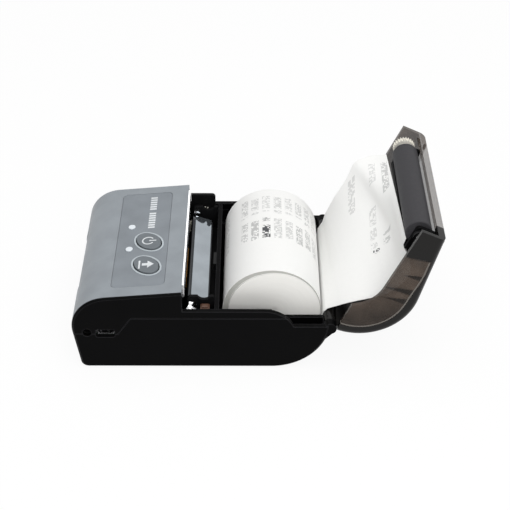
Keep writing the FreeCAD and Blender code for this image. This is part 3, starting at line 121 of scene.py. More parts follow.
class Surface:
    """A Principled material with the node helpers that the finishes share."""

    def __init__(self, name, colour, roughness, **sockets):
        self.material = bpy.data.materials.new(name)
        self.material.use_nodes = True
        self.tree = self.material.node_tree
        self.shader = self.tree.nodes["Principled BSDF"]
        self.colour = colour
        self.roughness = roughness
        self.shader.inputs["Base Color"].default_value = (*colour, 1)
        self.shader.inputs["Roughness"].default_value = roughness
        for socket, value in sockets.items():
            self.shader.inputs[socket.replace("_", " ")].default_value = value
        self.height = None
        self.paint = None

    def add(self, kind, **settings):
        node = self.tree.nodes.new("ShaderNode" + kind)
        for key, value in settings.items():
            setattr(node, key, value)
        return node

    def link(self, out, into):
        self.tree.links.new(out, into)

    def feed(self, socket, value):
        if isinstance(value, (int, float)):
            socket.default_value = value
        else:
            self.link(value, socket)

    def math(self, operation, a, b=0.0, c=0.0):
        node = self.add("Math", operation=operation)
        for socket, value in zip(node.inputs, (a, b, c)):
            self.feed(socket, value)
        return node.outputs[0]

    def product(self, a, b):
        return self.math("MULTIPLY", a, b)

    def place(self, stretch):
        """Where the surface point is in its own piece, stretched before a texture reads it."""
        coords = self.add("TexCoord")
        mapping = self.add("Mapping")
        mapping.inputs["Scale"].default_value = stretch
        self.link(coords.outputs["Object"], mapping.inputs["Vector"])
        return mapping.outputs["Vector"]

    def noise(self, size_mm, detail=2.0, stretch=EVEN):
        node = self.add("TexNoise")
        node.inputs["Scale"].default_value = 1.0 / (size_mm * MM)
        node.inputs["Detail"].default_value = detail
        self.link(self.place(stretch), node.inputs["Vector"])
        return node.outputs["Fac"]

    def spread(self, value, low, high):
        """A noise texture's values, stretched to reach from low to high."""
        node = self.add("MapRange")
        self.link(value, node.inputs["Value"])
        node.inputs["From Min"].default_value = NOISE_LOW
        node.inputs["From Max"].default_value = NOISE_HIGH
        node.inputs["To Min"].default_value = low
        node.inputs["To Max"].default_value = high
        return node.outputs["Result"]

    def ramp(self, value, start, end, low=0.0, high=1.0):
        """A smooth step from low at the start to high at the end."""
        node = self.add("MapRange", interpolation_type="SMOOTHSTEP")
        self.link(value, node.inputs["Value"])
        node.inputs["From Min"].default_value = start
        node.inputs["From Max"].default_value = end
        node.inputs["To Min"].default_value = low
        node.inputs["To Max"].default_value = high
        return node.outputs["Result"]

    def mix(self, share, low, high):
        node = self.add("Mix", data_type="RGBA")
        self.feed(node.inputs["Factor"], share)
        for socket, value in ((node.inputs[MIX_LOW], low), (node.inputs[MIX_HIGH], high)):
            if isinstance(value, tuple):
                socket.default_value = (*value, 1)
            else:
                self.link(value, socket)
        return node.outputs[MIX_RESULT]

    def cover(self, paint):
        self.paint = paint
        self.link(paint, self.shader.inputs["Base Color"])
        return self

    def tint(self, amount, size_mm, detail=3.0, stretch=EVEN):
        """Soft lighter and darker patches in the colour."""
        share = self.spread(self.noise(size_mm, detail, stretch), 0.0, 1.0)
        low = tuple(c * (1 - amount) for c in self.colour)
        high = tuple(min(c * (1 + amount), 1.0) for c in self.colour)
        return self.cover(self.mix(share, low, high))

    def paint_edge_shading(self, edge_shading):
        """Edges painted another colour where the softened shading leaves the flat face: a painted
        highlight where that colour is lighter, painted shade where it is darker.
        """
        turn = self.add("VectorMath", operation="DOT_PRODUCT")
        self.link(self.height, turn.inputs[0])
        self.link(self.add("NewGeometry").outputs["Normal"], turn.inputs[1])
        share = self.product(self.math("SUBTRACT", 1.0, turn.outputs["Value"]), EDGE_SHADING_GAIN)
        return self.cover(self.mix(self.math("MINIMUM", share, 1.0), self.paint, edge_shading))

    def offset_from(self, x, z):
        """Where the surface point is from a line along the printer's width, across that line."""
        offset = self.add("VectorMath", operation="SUBTRACT")
        offset.inputs[1].default_value = (x * MM, 0, z * MM)
        self.link(self.add("TexCoord").outputs["Object"], offset.inputs[0])
        flat = self.add("VectorMath", operation="MULTIPLY")
        flat.inputs[1].default_value = (1, 0, 1)
        self.link(offset.outputs["Vector"], flat.inputs[0])
        return flat.outputs["Vector"]

    def along(self, vector, angle):
        """How far a vector reaches in one direction across the printer's width, in mm."""
        reach = self.add("VectorMath", operation="DOT_PRODUCT")
        turn = math.radians(angle)
        reach.inputs[1].default_value = (math.cos(turn) / MM, 0, math.sin(turn) / MM)
        self.link(vector, reach.inputs[0])
        return reach.outputs["Value"]

    def length_mm(self, vector):
        length = self.add("VectorMath", operation="LENGTH")
        self.link(vector, length.inputs[0])
        return self.math("DIVIDE", length.outputs["Value"], MM)

    def polish(self, amount, size_mm, detail=3.0, stretch=EVEN):
        """Patches of more and less gloss."""
        share = self.noise(size_mm, detail, stretch)
        gloss = self.spread(share, self.roughness - amount, self.roughness + amount)
        self.link(gloss, self.shader.inputs["Roughness"])
        return self

    def grain(self, size_mm, depth_mm, strength, detail=2.0, stretch=EVEN):
        """Fine relief, laid over what relief the surface already has."""
        return self.relief(self.noise(size_mm, detail, stretch), depth_mm, strength)

    def relief(self, value, depth_mm, strength):
        bump = self.add("Bump")
        bump.inputs["Strength"].default_value = strength
        bump.inputs["Distance"].default_value = depth_mm * MM
        self.link(value, bump.inputs["Height"])
        if self.height is not None:
            self.link(self.height, bump.inputs["Normal"])
        self.height = bump.outputs["Normal"]
        self.link(self.height, self.shader.inputs["Normal"])
        return self

    def soft_edge(self, radius_mm):
        """Shading that rolls over sharp edges as a moulding's small radius does."""
        bevel = self.add("Bevel", samples=BEVEL_SAMPLES)
        bevel.inputs["Radius"].default_value = radius_mm * MM
        self.height = bevel.outputs["Normal"]
        self.link(self.height, self.shader.inputs["Normal"])
        return self


# Finishes of the record's material slots

def moulded(name, colour, roughness, grain_mm, edge_mm, edge_shading=1.15, specular=0.5):
    """Injection-moulded plastic: grained, with handling gloss and soft edges, painted slightly
    lighter by default as a highlight, and darker as shade where edge_shading is below one.
    """
    made = Surface(name, colour, roughness, Specular_IOR_Level=specular)
    made.soft_edge(edge_mm)
    made.tint(amount=0.07, size_mm=9.0)
    made.paint_edge_shading(tuple(min(c * edge_shading, 1.0) for c in colour))
    made.polish(amount=0.06, size_mm=14.0)
    made.grain(grain_mm, depth_mm=0.02, strength=0.35)
    made.grain(grain_mm * 6, depth_mm=0.03, strength=0.15)
    return made


LAY_MM = 0.12
LAY_ALONG_Y = (1, 0.06, 1)


def metal(name, colour, roughness, stretch):
    """Drawn or ground metal with its lay along one direction."""
    made = Surface(name, colour, roughness, Metallic=1.0)
    made.soft_edge(0.1)
    made.tint(amount=0.08, size_mm=LAY_MM * 3, detail=2.0, stretch=stretch)
    made.polish(amount=0.08, size_mm=LAY_MM * 8, detail=2.0, stretch=stretch)
    made.grain(LAY_MM, depth_mm=0.006, strength=0.35, detail=2.0, stretch=stretch)
    return made


def plain_paper():
    made = Surface("plain_paper", PAPER_WHITE, 0.62, Sheen_Weight=0.05)
    made.tint(amount=0.012, size_mm=1.2, detail=4.0)
    made.grain(0.35, depth_mm=0.012, strength=0.3, detail=4.0)
    return made


SMOKE = (0.078, 0.058, 0.045)
# Painted shadow: colour of the rib streaks on the lid's near side
SMOKE_RIB_SHADOW = (0.01, 0.008, 0.0065)
# Painted shade on the lid's near side, next to its outer shell
SMOKE_SHADE = (0.014, 0.011, 0.009)
SMOKE_DENSE = (0.006, 0.0055, 0.005)
# Painted highlight: light line along the seam of the lid's sides with its outer shell
SMOKE_SEAM_HIGHLIGHT = (0.17, 0.155, 0.14)
# Opacity of the lid's middle, and how much more its near and far sides have
LID_ALPHA, NEAR_ALPHA, FAR_ALPHA = 0.45, 0.38, 0.26


def lid_depth(made, from_centre, to_lip):
    """How far a point of the lid is past the inner edge of its dense outer shell."""
    outward = made.along(from_centre, LID_FLAT_FACES)
    below = made.math("MINIMUM", to_lip, 0.0)
    square = made.math("MULTIPLY_ADD", outward, outward, made.product(below, below))
    shell_edge = made.ramp(to_lip, start=-4.0, end=14.0, low=LID_R - 4.8, high=LID_R - 2.5)
    return made.math("SUBTRACT", made.math("SQRT", square), shell_edge)


def painted_rib_shadows(made, to_lip, depth):
    """Painted dark wedges that taper inwards from the outer shell: ribs inside the lid and the
    shadows they cast, seen through its near side.
    """
    rib_shadows = 0.0
    for middle, length, half in LID_RIB_SHADOWS:
        half_here = made.math("MULTIPLY_ADD", depth, half / length, half)
        aside = made.math("ABSOLUTE", made.math("SUBTRACT", to_lip, middle))
        past_edge = made.math("SUBTRACT", aside, half_here)
        rib_shadow = made.ramp(past_edge, start=-0.4, end=0.2, low=1.0, high=0.0)
        rib_shadows = made.math("MAXIMUM", rib_shadows, rib_shadow)
    return rib_shadows


def smoked_cover():
    """Smoked moulding: see-through in its thin sides, near black along its thick outer shell, with
    painted rib shadows and painted shade on its near side and a painted highlight along its seams.
    """
    made = Surface("smoked_moulding", SMOKE, 0.22, Specular_IOR_Level=0.22)
    made.soft_edge(0.3)
    made.tint(amount=0.3, size_mm=7.0, detail=2.0, stretch=(1, 0.35, 1))
    made.polish(amount=0.07, size_mm=3.0, detail=4.0, stretch=(1, 0.3, 1))
    from_centre = made.offset_from(*LID_CENTRE)
    to_lip = made.along(from_centre, LID_FLAT_FACES + 90)
    depth = lid_depth(made, from_centre, to_lip)
    place = made.add("SeparateXYZ")
    made.link(made.add("TexCoord").outputs["Object"], place.inputs["Vector"])
    near_side = made.math("LESS_THAN", place.outputs["Y"], -LID_SIDE * MM)
    far_side = made.math("GREATER_THAN", place.outputs["Y"], LID_SIDE * MM)
    sides = made.math("MAXIMUM", near_side, far_side)

    shell = made.ramp(depth, start=0.0, end=0.6)
    corner = made.math("MAXIMUM", made.ramp(to_lip, LID_CORNER, LID_CORNER + 1.2), shell)
    lower_shell = made.product(shell, made.ramp(to_lip, start=-2.0, end=15.0, low=1.0, high=0.0))
    dense = made.math("MAXIMUM", lower_shell, made.product(corner, near_side))
    # Painted highlight: a thin light line on both sides where the see-through wall meets the dense
    # outer shell
    seam_highlight_line = made.math("COMPARE", depth, -0.1, 0.3)
    seam_highlight = made.product(seam_highlight_line, made.math("SUBTRACT", 1.0, dense))
    # Painted shade on the near side: darker next to the outer shell and away from the lip
    shade = made.product(made.ramp(depth, start=-13.0, end=-1.0, low=0.25),
                         made.ramp(to_lip, start=-7.0, end=2.0, low=0.6, high=0.0))
    # Painted rib shadows on the near side: ribs inside the lid and the shade they cast
    rib_shadows = made.product(painted_rib_shadows(made, to_lip, depth), made.product(near_side, 0.9))

    made.cover(made.mix(rib_shadows, made.paint, SMOKE_RIB_SHADOW))
    made.cover(made.mix(made.product(shade, near_side), made.paint, SMOKE_SHADE))
    made.cover(made.mix(dense, made.paint, SMOKE_DENSE))
    made.cover(made.mix(made.product(seam_highlight, sides), made.paint, SMOKE_SEAM_HIGHLIGHT))
    far_wall = made.math("MULTIPLY_ADD", far_side, FAR_ALPHA, LID_ALPHA)
    wall = made.math("MULTIPLY_ADD", near_side, NEAR_ALPHA, far_wall)
    made.link(made.math("MAXIMUM", wall, dense), made.shader.inputs["Alpha"])
    made.grain(0.9, depth_mm=0.006, strength=0.06, detail=3.0)
    return made


def rubber():
    """Ground roller rubber: fine rings left by the grinding wheel."""
    made = Surface("ground_rubber", (0.046, 0.045, 0.049), 0.62, Specular_IOR_Level=0.2)
    made.tint(amount=0.1, size_mm=0.8, detail=3.0, stretch=(1, 6, 1))
    made.polish(amount=0.05, size_mm=2.0, detail=3.0, stretch=(1, 6, 1))
    made.grain(0.35, depth_mm=0.012, strength=0.4, detail=3.0, stretch=(1, 5, 1))
    return made


def circuit_board():
    """Solder mask over copper tracks."""
    made = Surface("solder_mask", (0.02, 0.14, 0.06), 0.32)
    share = made.spread(made.noise(1.4, detail=1.0, stretch=(1, 3, 1)), 0.0, 1.0)
    made.cover(made.mix(share, (0.015, 0.11, 0.05), (0.035, 0.2, 0.09)))
    made.relief(share, depth_mm=0.03, strength=0.3)
    return made


def glazed_strip():
    """Glazed ceramic of the print head: mirror smooth, with a slow wave in the glaze."""
    made = Surface("glazed_ceramic", (0.36, 0.395, 0.425), 0.06, Metallic=0.9)
    made.tint(amount=0.12, size_mm=12.0, detail=2.0)
    made.grain(14.0, depth_mm=0.05, strength=0.1)
    return made


def finishes():
    made = {
        # edge_shading paints the edges: lighter as a painted highlight, strongest on the black
        # case's rim; darker as painted shade in the keypad film's outline
        "black_abs": moulded("satin_black_moulding", (0.0022, 0.0022, 0.0024), 0.42,
                             grain_mm=0.16, edge_mm=0.45, edge_shading=18.0, specular=0.035),
        "black_inner": moulded("matt_black_moulding", (0.005, 0.005, 0.0053), 0.5,
                               grain_mm=0.2, edge_mm=0.25, edge_shading=3.0, specular=0.045),
        "grey_panel": moulded("satin_grey_moulding", (0.278, 0.304, 0.329), 0.4,
                              grain_mm=0.14, edge_mm=0.3, specular=0.25),
        "grey_keypad": moulded("grey_keypad_film", (0.233, 0.256, 0.28), 0.5,
                               grain_mm=0.1, edge_mm=0.16, edge_shading=0.42, specular=0.25),
        "pale_trim": moulded("pale_ring", (0.5, 0.55, 0.58), 0.35,
                             grain_mm=0.3, edge_mm=0.08, specular=0.25),
        "dark_key": moulded("key_rubber", (0.163, 0.182, 0.198), 0.5,
                            grain_mm=0.12, edge_mm=0.3, specular=0.25),
        "light_pipe": moulded("milky_light_pipe", (0.78, 0.83, 0.87), 0.25,
                              grain_mm=0.6, edge_mm=0.2),
        "window": moulded("milky_window", (0.86, 0.86, 0.85), 0.06,
                          grain_mm=0.8, edge_mm=0.15, edge_shading=1.0, specular=0.8),
        "circuit_board": circuit_board(),
        "chip_black": moulded("moulded_component", (0.009, 0.009, 0.0095), 0.45,
                              grain_mm=0.1, edge_mm=0.1, edge_shading=2.0, specular=0.2),
        "steel": metal("bright_steel", (0.72, 0.72, 0.73), 0.24, LAY_ALONG_Y),
        "dark_steel": metal("dull_steel", (0.3, 0.3, 0.31), 0.4, EVEN),
        "aluminium": metal("black_anodised", (0.06, 0.062, 0.066), 0.4, LAY_ALONG_Y),
        "glazed_strip": glazed_strip(),
        "nylon": moulded("natural_nylon", (0.83, 0.8, 0.72), 0.42,
                         grain_mm=0.25, edge_mm=0.12),
        "smoked": smoked_cover(),
        "platen_rubber": rubber(),
        "paper": plain_paper(),
        "flex": moulded("amber_film", (0.5, 0.24, 0.05), 0.3,
                        grain_mm=0.5, edge_mm=0.05),
        "battery_blue": moulded("wrapped_pack", (0.05, 0.065, 0.1), 0.35,
                                grain_mm=0.5, edge_mm=0.3),
        "brown_block": moulded("brown_moulding", (0.1, 0.05, 0.032), 0.4,
                               grain_mm=0.15, edge_mm=0.15),
        "brass": metal("plain_brass", (0.7, 0.5, 0.2), 0.28, EVEN),
        "bushing": moulded("black_acetal", (0.006, 0.006, 0.0065), 0.25,
                           grain_mm=0.2, edge_mm=0.12, edge_shading=3.0, specular=0.3),
    }
    return {slot: surface.material for slot, surface in made.items()}


def dress_nodes(materials):
    for part in frame["record"]["subparts"]:
        slots = nodes[part["node"]].data.materials
        slots.clear()
        slots.append(materials[part["material_slot"]])


# Printed paper

INK = (0.03, 0.033, 0.04)
FIBRE_SHADE = 0.985
ROLL_PRINT_HEIGHT, WEB_PRINT_HEIGHT = 3.3, 2.6


class PrintedPaper(Surface):
    """Paper with faded print: lines of small dots, with no readable lettering.

    The UV map holds millimetres: U across the paper, V along it. Each word is its middle along the
    paper, its ends across the paper and its share of ink."""

    def __init__(self, name, height, words):
        super().__init__(name, PAPER_WHITE, 0.6, Specular_IOR_Level=0.3)
        uv = self.add("SeparateXYZ")
        self.link(self.add("UVMap").outputs["UV"], uv.inputs["Vector"])
        across, along = uv.outputs["X"], uv.outputs["Y"]
        ink = 0.0
        for middle, low, high, share in words:
            in_line = self.math("COMPARE", along, middle, height / 2)
            in_word = self.math("COMPARE", across, (low + high) / 2, (high - low) / 2)
            word = self.product(self.product(in_line, in_word), share)
            ink = self.math("MAXIMUM", ink, word)
        ink = self.product(ink, self.dots(across, along, x_size=0.5, y_size=0.55, bare=0.4))
        ink = self.product(ink, self.dots(across, along, x_size=1.3, y_size=40.0, bare=0.15))
        fibre = self.spread(self.noise(1.2, detail=4.0), 0.0, 1.0)
        plain = self.mix(fibre, tuple(c * FIBRE_SHADE for c in PAPER_WHITE), PAPER_WHITE)
        self.cover(self.mix(ink, plain, INK))
        self.grain(0.35, depth_mm=0.012, strength=0.3, detail=4.0)

    def dots(self, x, y, x_size, y_size, bare):
        """Cells that are inked or left bare at random."""
        node = self.add("TexWhiteNoise", noise_dimensions="2D")
        vector = self.add("CombineXYZ")
        self.link(self.math("FLOOR", self.math("DIVIDE", x, x_size)), vector.inputs["X"])
        self.link(self.math("FLOOR", self.math("DIVIDE", y, y_size)), vector.inputs["Y"])
        self.link(vector.outputs["Vector"], node.inputs["Vector"])
        return self.math("GREATER_THAN", node.outputs["Value"], bare)


# Ink of the far and the near word of each line round the roll
ROLL_INK = ((0.3, 0.32), (0.28, 0.42), (0.24, 0.0), (0.3, 0.3), (0.24, 0.28), (0.3, 0.42),
            (0.32, 0.36), (0.24, 0.3))
FIRST_LINE, LINE_STEP = -42.5, 4.8
# Ends of those words across the roll, and how far they stray from line to line
FAR_LOW, FAR_HIGH, NEAR_LOW, NEAR_HIGH = 10.8, 23.6, -5.5, 7.2
FAR_LOW_STRAY, FAR_HIGH_STRAY, NEAR_LOW_STRAY, NEAR_HIGH_STRAY = 0.7, -0.8, -1.2, -0.7
# Two words in place of the third line's near word, one of them bold, and a lone faint line
ROLL_OTHER_WORDS = [(-32.9, 5.2, 8.8, 0.5), (-32.9, -6.2, 2.6, 0.95), (-54.0, -2.0, 22.0, 0.25)]


def roll_words():
    """Two words with ragged ends on each line round the roll, and the other words."""
    words = []
    for k, (far, near) in enumerate(ROLL_INK):
        middle = FIRST_LINE + LINE_STEP * k
        words.append((middle, FAR_LOW + FAR_LOW_STRAY * (k % 3),
                      FAR_HIGH + FAR_HIGH_STRAY * (k % 2), far))
        words.append((middle, NEAR_LOW + NEAR_LOW_STRAY * (k % 2),
                      NEAR_HIGH + NEAR_HIGH_STRAY * (k % 3), near))
    return words + ROLL_OTHER_WORDS


# Lines of print on the free run, left bare where the paper stands steep
WEB_WORDS = ((61.3, 11.0, 23.0, 0.24), (69.3, -9.0, 8.0, 0.22), (69.3, 14.5, 24.0, 0.22),
             (74.3, -9.0, -4.0, 0.3), (74.3, 7.0, 24.0, 0.34), (70.0, -11.6, -9.6, 0.9))


# Mesh tools

SHARP_ANGLE = 50.0
CURVE_STEPS = 12
NO_LENGTH = 1e-9


def make_object(name, verts, faces, material, smooth=True):
    mesh = bpy.data.meshes.new(name)
    mesh.from_pydata([Vector(v) * MM for v in verts], [], faces)
    mesh.materials.append(material)
    mesh.update()
    for polygon in mesh.polygons:
        polygon.use_smooth = smooth
    mesh.set_sharp_from_angle(angle=math.radians(SHARP_ANGLE))
    made = bpy.data.objects.new(name, mesh)
    bpy.context.scene.collection.objects.link(made)
    return made


def polar(centre_x, centre_z, radius, angle, y=0.0):
    a = math.radians(angle)
    return Vector((centre_x + radius * math.cos(a), y, centre_z + radius * math.sin(a)))


def run_lengths(points):
    """How far along a run of points each of them is."""
    lengths = [0.0]
    for a, b in zip(points, points[1:]):
        lengths.append(lengths[-1] + (b - a).length)
    return lengths


def curve_through(points, steps):
    """Smooth points along a run of control points, evenly spread by length."""
    dense = []
    for k in range(len(points) - 1):
        p0, p1 = points[max(k - 1, 0)], points[k]
        p2, p3 = points[k + 1], points[min(k + 2, len(points) - 1)]
        for s in range(CURVE_STEPS):
            t = s / CURVE_STEPS
            dense.append(0.5 * (2 * p1 + (p2 - p0) * t + (2 * p0 - 5 * p1 + 4 * p2 - p3) * t ** 2
                                + (3 * p1 - p0 - 3 * p2 + p3) * t ** 3))
    dense.append(points[-1])
    lengths = run_lengths(dense)
    out, k = [], 0
    for s in range(steps + 1):
        target = lengths[-1] * s / steps
        while k < len(dense) - 2 and lengths[k + 1] < target:
            k += 1
        share = (target - lengths[k]) / max(lengths[k + 1] - lengths[k], NO_LENGTH)
        out.append(dense[k].lerp(dense[k + 1], min(max(share, 0.0), 1.0)))
    return out


def sheet_rim(n_rows, n_cols):
    """Grid places round a sheet's edge, in order."""
    rim = [(i, 0) for i in range(n_rows)]
    rim += [(n_rows - 1, j) for j in range(1, n_cols)]
    rim += [(i, n_cols - 1) for i in range(n_rows - 2, -1, -1)]
    rim += [(0, j) for j in range(n_cols - 2, 0, -1)]
    return rim


def thin_sheet(name, rows, thickness, material):
    """A closed thin sheet through a grid of points, and the length of its middle column.

    The UV map holds the sheet's plan in millimetres, so that a line of print runs straight beside
    the platen."""
    n_rows, n_cols = len(rows), len(rows[0])
    front, back = [], []
    for i in range(n_rows):
        for j in range(n_cols):
            here = rows[i][j]
            along = rows[min(i + 1, n_rows - 1)][j] - rows[max(i - 1, 0)][j]
            across = rows[i][min(j + 1, n_cols - 1)] - rows[i][max(j - 1, 0)]
            normal = along.cross(across).normalized() * (thickness / 2)
            front.append(here + normal)
            back.append(here - normal)
    count = n_rows * n_cols

    def index(i, j, side):
        return side * count + i * n_cols + j

    faces = []
    for i in range(n_rows - 1):
        for j in range(n_cols - 1):
            quad = [(i, j), (i + 1, j), (i + 1, j + 1), (i, j + 1)]
            faces.append([index(a, b, 0) for a, b in quad])
            faces.append([index(a, b, 1) for a, b in reversed(quad)])
    rim = sheet_rim(n_rows, n_cols)
    for (a, b), (c, d) in zip(rim, rim[1:] + rim[:1]):
        faces.append([index(c, d, 0), index(a, b, 0), index(a, b, 1), index(c, d, 1)])
    made = make_object(name, front + back, faces, material)
    layer = made.data.uv_layers.new(name="UVMap")
    for loop in made.data.loops:
        i, j = divmod(loop.vertex_index % count, n_cols)
        layer.data[loop.index].uv = (rows[i][j].y, rows[i][j].x)
    return made, run_lengths([row[n_cols // 2] for row in rows])[-1]


# Paper roll

ROLL_STEPS = 120
SHEET_T = 0.14
# Slack of the outer turn, wider than in the part's source, and the side of the roll that has it
LOOSE_GAP, LOOSE_ANGLE = 2.2, 155.0
# How far the second turn is shifted and drawn in, as a share of that slack
LOOSE_SHARE = 0.43
# Radius that the winding and the second turn lose besides
WOUND_INSET, TURN_INSET = 0.2, 0.25
# Room between the shaded slack and the turns on both sides of it
SLACK_OUT, SLACK_IN = 0.04, 0.03
# How far the second turn and the shaded slack stop short of the roll's ends
TURN_SHORT, SLACK_SHORT = 0.3, 0.4
# Winding's end: hole that is pinched shut, pitch of the rings and dish round the hole
PINCH_R, RING_PITCH = 0.5, 0.45
DISH_R, DISH_DEPTH = 1.6, 0.3
# Waves in how far the layers stand out: height, radians per mm of radius and start
LAYER_WAVES = ((0.006, 9.1, 0.0), (0.01, 2.3, 1.0))
LAYER_INSET = 0.01
# Slots of the roll's materials, and how squarely an end face points along the axis
PRINTED, EDGE, SHADED = 0, 1, 2
END_FACING = 0.5
# Rings in the colour of the cut edges
EDGE_RINGS_PER_MM, EDGE_DETAIL, EDGE_CONTRAST = 4.5, 5.0, 0.015


def ring_of(centre, radius, y):
    steps = range(ROLL_STEPS)
    return [polar(centre.x, centre.z, radius, 360.0 * k / ROLL_STEPS, y) for k in steps]


def lathe(rings):
    """Points of a chain of rings, and the faces that join each ring to the next."""
    verts = [p for ring in rings for p in ring]
    faces = []
    for a in range(len(rings) - 1):
        here, ahead = a * ROLL_STEPS, (a + 1) * ROLL_STEPS
        for k in range(ROLL_STEPS):
            n = (k + 1) % ROLL_STEPS
            faces.append([here + k, here + n, ahead + n, ahead + k])
    return verts, faces


def wound_end(radius):
    """Half the winding's width at a radius: its ends are stepped layer by layer and dished."""
    step = sum(height * math.sin(rate * radius + start) for height, rate, start in LAYER_WAVES)
    dish = DISH_DEPTH * max(0.0, 1 - radius / DISH_R)
    return PAPER_HALF - dish + (step - LAYER_INSET)


def wound_body(centre, radius):
    """Tight winding, closed at a pinched centre."""
    count = int((radius - PINCH_R) / RING_PITCH)
    radii = [PINCH_R + RING_PITCH * k for k in range(count)] + [radius]
    rings = [ring_of(centre, r, -wound_end(r)) for r in radii]
    rings += [ring_of(centre, r, wound_end(r)) for r in reversed(radii)]
    verts, faces = lathe(rings)
    last = len(rings) - 1
    faces.append(list(range(ROLL_STEPS)))
    faces.append([last * ROLL_STEPS + k for k in reversed(range(ROLL_STEPS))])
    return verts, faces


def slack_layers(outer_centre, outer_radius, inner_centre, inner_radius, half):
    """Slack paper between two circles: a closed tube."""
    rings = [ring_of(outer_centre, outer_radius, -half), ring_of(inner_centre, inner_radius, -half),
             ring_of(inner_centre, inner_radius, half), ring_of(outer_centre, outer_radius, half),
             ring_of(outer_centre, outer_radius, -half)]
    verts, faces = lathe(rings)
    count = 4 * ROLL_STEPS
    return verts[:count], [[v % count for v in face] for face in faces]


def roll_parts():
    """Winding, second turn, shaded slack and outer turn, each with the material of its ends."""
    axis = Vector((ROLL_X, 0, ROLL_Z))
    away = polar(0, 0, 1.0, LOOSE_ANGLE + 180)
    inside = axis + away * (LOOSE_GAP * LOOSE_SHARE)
    turn_r = ROLL_R - LOOSE_GAP * LOOSE_SHARE - TURN_INSET
    wound_r = ROLL_R - WOUND_INSET - LOOSE_GAP / 2
    winding = wound_body(axis + away * (LOOSE_GAP / 2), wound_r)
    second_turn = slack_layers(inside, turn_r, inside, turn_r - SHEET_T, PAPER_HALF - TURN_SHORT)
    slack = slack_layers(axis, ROLL_R - SHEET_T - SLACK_OUT, inside, turn_r + SLACK_IN,
                         PAPER_HALF - SLACK_SHORT)
    outer_turn = slack_layers(axis, ROLL_R, axis, ROLL_R - SHEET_T, PAPER_HALF)
    return (winding, EDGE), (second_turn, EDGE), (slack, SHADED), (outer_turn, EDGE)


def wrap_roll_print(mesh):
    """A UV map in millimetres: U along the roll's axis, V round its outside."""
    layer = mesh.uv_layers.new(name="UVMap")
    for polygon in mesh.polygons:
        angles = []
        for loop in polygon.loop_indices:
            p = mesh.vertices[mesh.loops[loop].vertex_index].co / MM
            angles.append((loop, p.y, math.atan2(p.z - ROLL_Z, p.x - ROLL_X)))
        for loop, y, angle in angles:
            if angle - angles[0][2] > math.pi:
                angle -= 2 * math.pi
            elif angle - angles[0][2] < -math.pi:
                angle += 2 * math.pi
            layer.data[loop].uv = (y, -angle * ROLL_R)


def paper_roll(printed, edge, shaded):
    """Wound roll with slack outer turns, which leave a crescent at the end face."""
    verts, faces, end_slot = [], [], []
    for (more_verts, more_faces), slot in roll_parts():
        start = len(verts)
        verts += more_verts
        faces += [[v + start for v in face] for face in more_faces]
        end_slot += [slot] * len(more_faces)
    made = make_object("paper_roll_winding", verts, faces, printed)
    made.data.materials.append(edge)
    made.data.materials.append(shaded)
    for polygon in made.data.polygons:
        facing = abs(polygon.normal.y)
        polygon.material_index = end_slot[polygon.index] if facing > END_FACING else PRINTED
        polygon.use_smooth = facing < END_FACING
    wrap_roll_print(made.data)
    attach(made, "paper_roll")
    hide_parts("paper_roll")


def roll_edge(name, colour):
    """Cut edges of many layers: fine rings round the roll's own axis."""
    made = Surface(name, colour, 0.8, Specular_IOR_Level=0.15)
    rings = made.add("TexNoise", noise_dimensions="1D")
    rings.inputs["Scale"].default_value = EDGE_RINGS_PER_MM
    rings.inputs["Detail"].default_value = EDGE_DETAIL
    made.link(made.length_mm(made.offset_from(ROLL_X, ROLL_Z)), rings.inputs["W"])
    share = made.spread(rings.outputs["Fac"], 0.0, 1.0)
    low, high = (tuple(c * k for c in colour) for k in (1 - EDGE_CONTRAST, 1 + EDGE_CONTRAST))
    made.cover(made.mix(share, low, high))
    made.relief(rings.outputs["Fac"], depth_mm=0.01, strength=0.08)
    return made.material


# Paper from the roll to the platen

# Distance from the hinge axis, then the paper's angle about it at its near edge, middle, far edge
WEB_SHAPE = ((2.85, 124.8, 140.0, 152.0), (3.02, 105.5, 122.5, 137.0), (3.48, 89.8, 107.5, 123.0),
             (4.14, 78.3, 96.4, 112.0), (5.0, 69.6, 87.7, 103.3), (6.0, 63.2, 81.3, 96.9),
             (8.0, 55.9, 74.3, 92.7), (10.0, 50.7, 69.5, 90.2), (12.0, 46.7, 65.6, 87.9),
             (15.0, 42.0, 60.8, 84.6), (18.0, 38.3, 56.6, 82.1), (22.0, 34.7, 51.8, 79.5),
             (26.0, 32.7, 48.1, 76.7), (30.0, 33.0, 45.7, 74.6), (34.0, 33.8, 45.9, 73.6),
             (38.0, 36.5, 50.1, 72.7), (40.0, 40.6, 52.2, 70.5), (42.0, 46.8, 54.0, 66.9),
             (43.3, 51.2, 54.9, 64.2), (44.2, 52.0, 55.2, 62.2), (45.3, 52.6, 55.3, 59.9),
             (46.6, 53.2, 55.3, 57.7))
WEB_COLUMNS, WEB_ROWS, TAIL_ROWS = 24, 90, 70
# Sideways stray of the slack paper, where it starts from the hinge axis, its run and its power
WEB_DRIFT, DRIFT_START, DRIFT_RUN, DRIFT_POWER = 4.5, 3.0, 40.0, 0.8
# Slope per mm of a blend along the paper, and its growth from the origin to its start: paper_web
# works out that start and uses it no further
BLEND_SLOPE, BLEND_START = (0.01081, -0.00317, 0.00726), 0.4102
# Paper up the bay's rear wall, across to the hinge and over its barrel
TAIL_LIFT, TAIL_BAY_ANGLES = 0.25, range(-84, -15, 6)
TAIL_BEND_X, TAIL_BEND_Z = 48.0, 18.6
TAIL_BARREL_R, TAIL_BARREL_ANGLES = 2.62, (165, 140, 118)


def across_paper(column):
    """Place across the printer of one column of a sheet."""
    return PAPER_HALF * (2 * column / WEB_COLUMNS - 1)


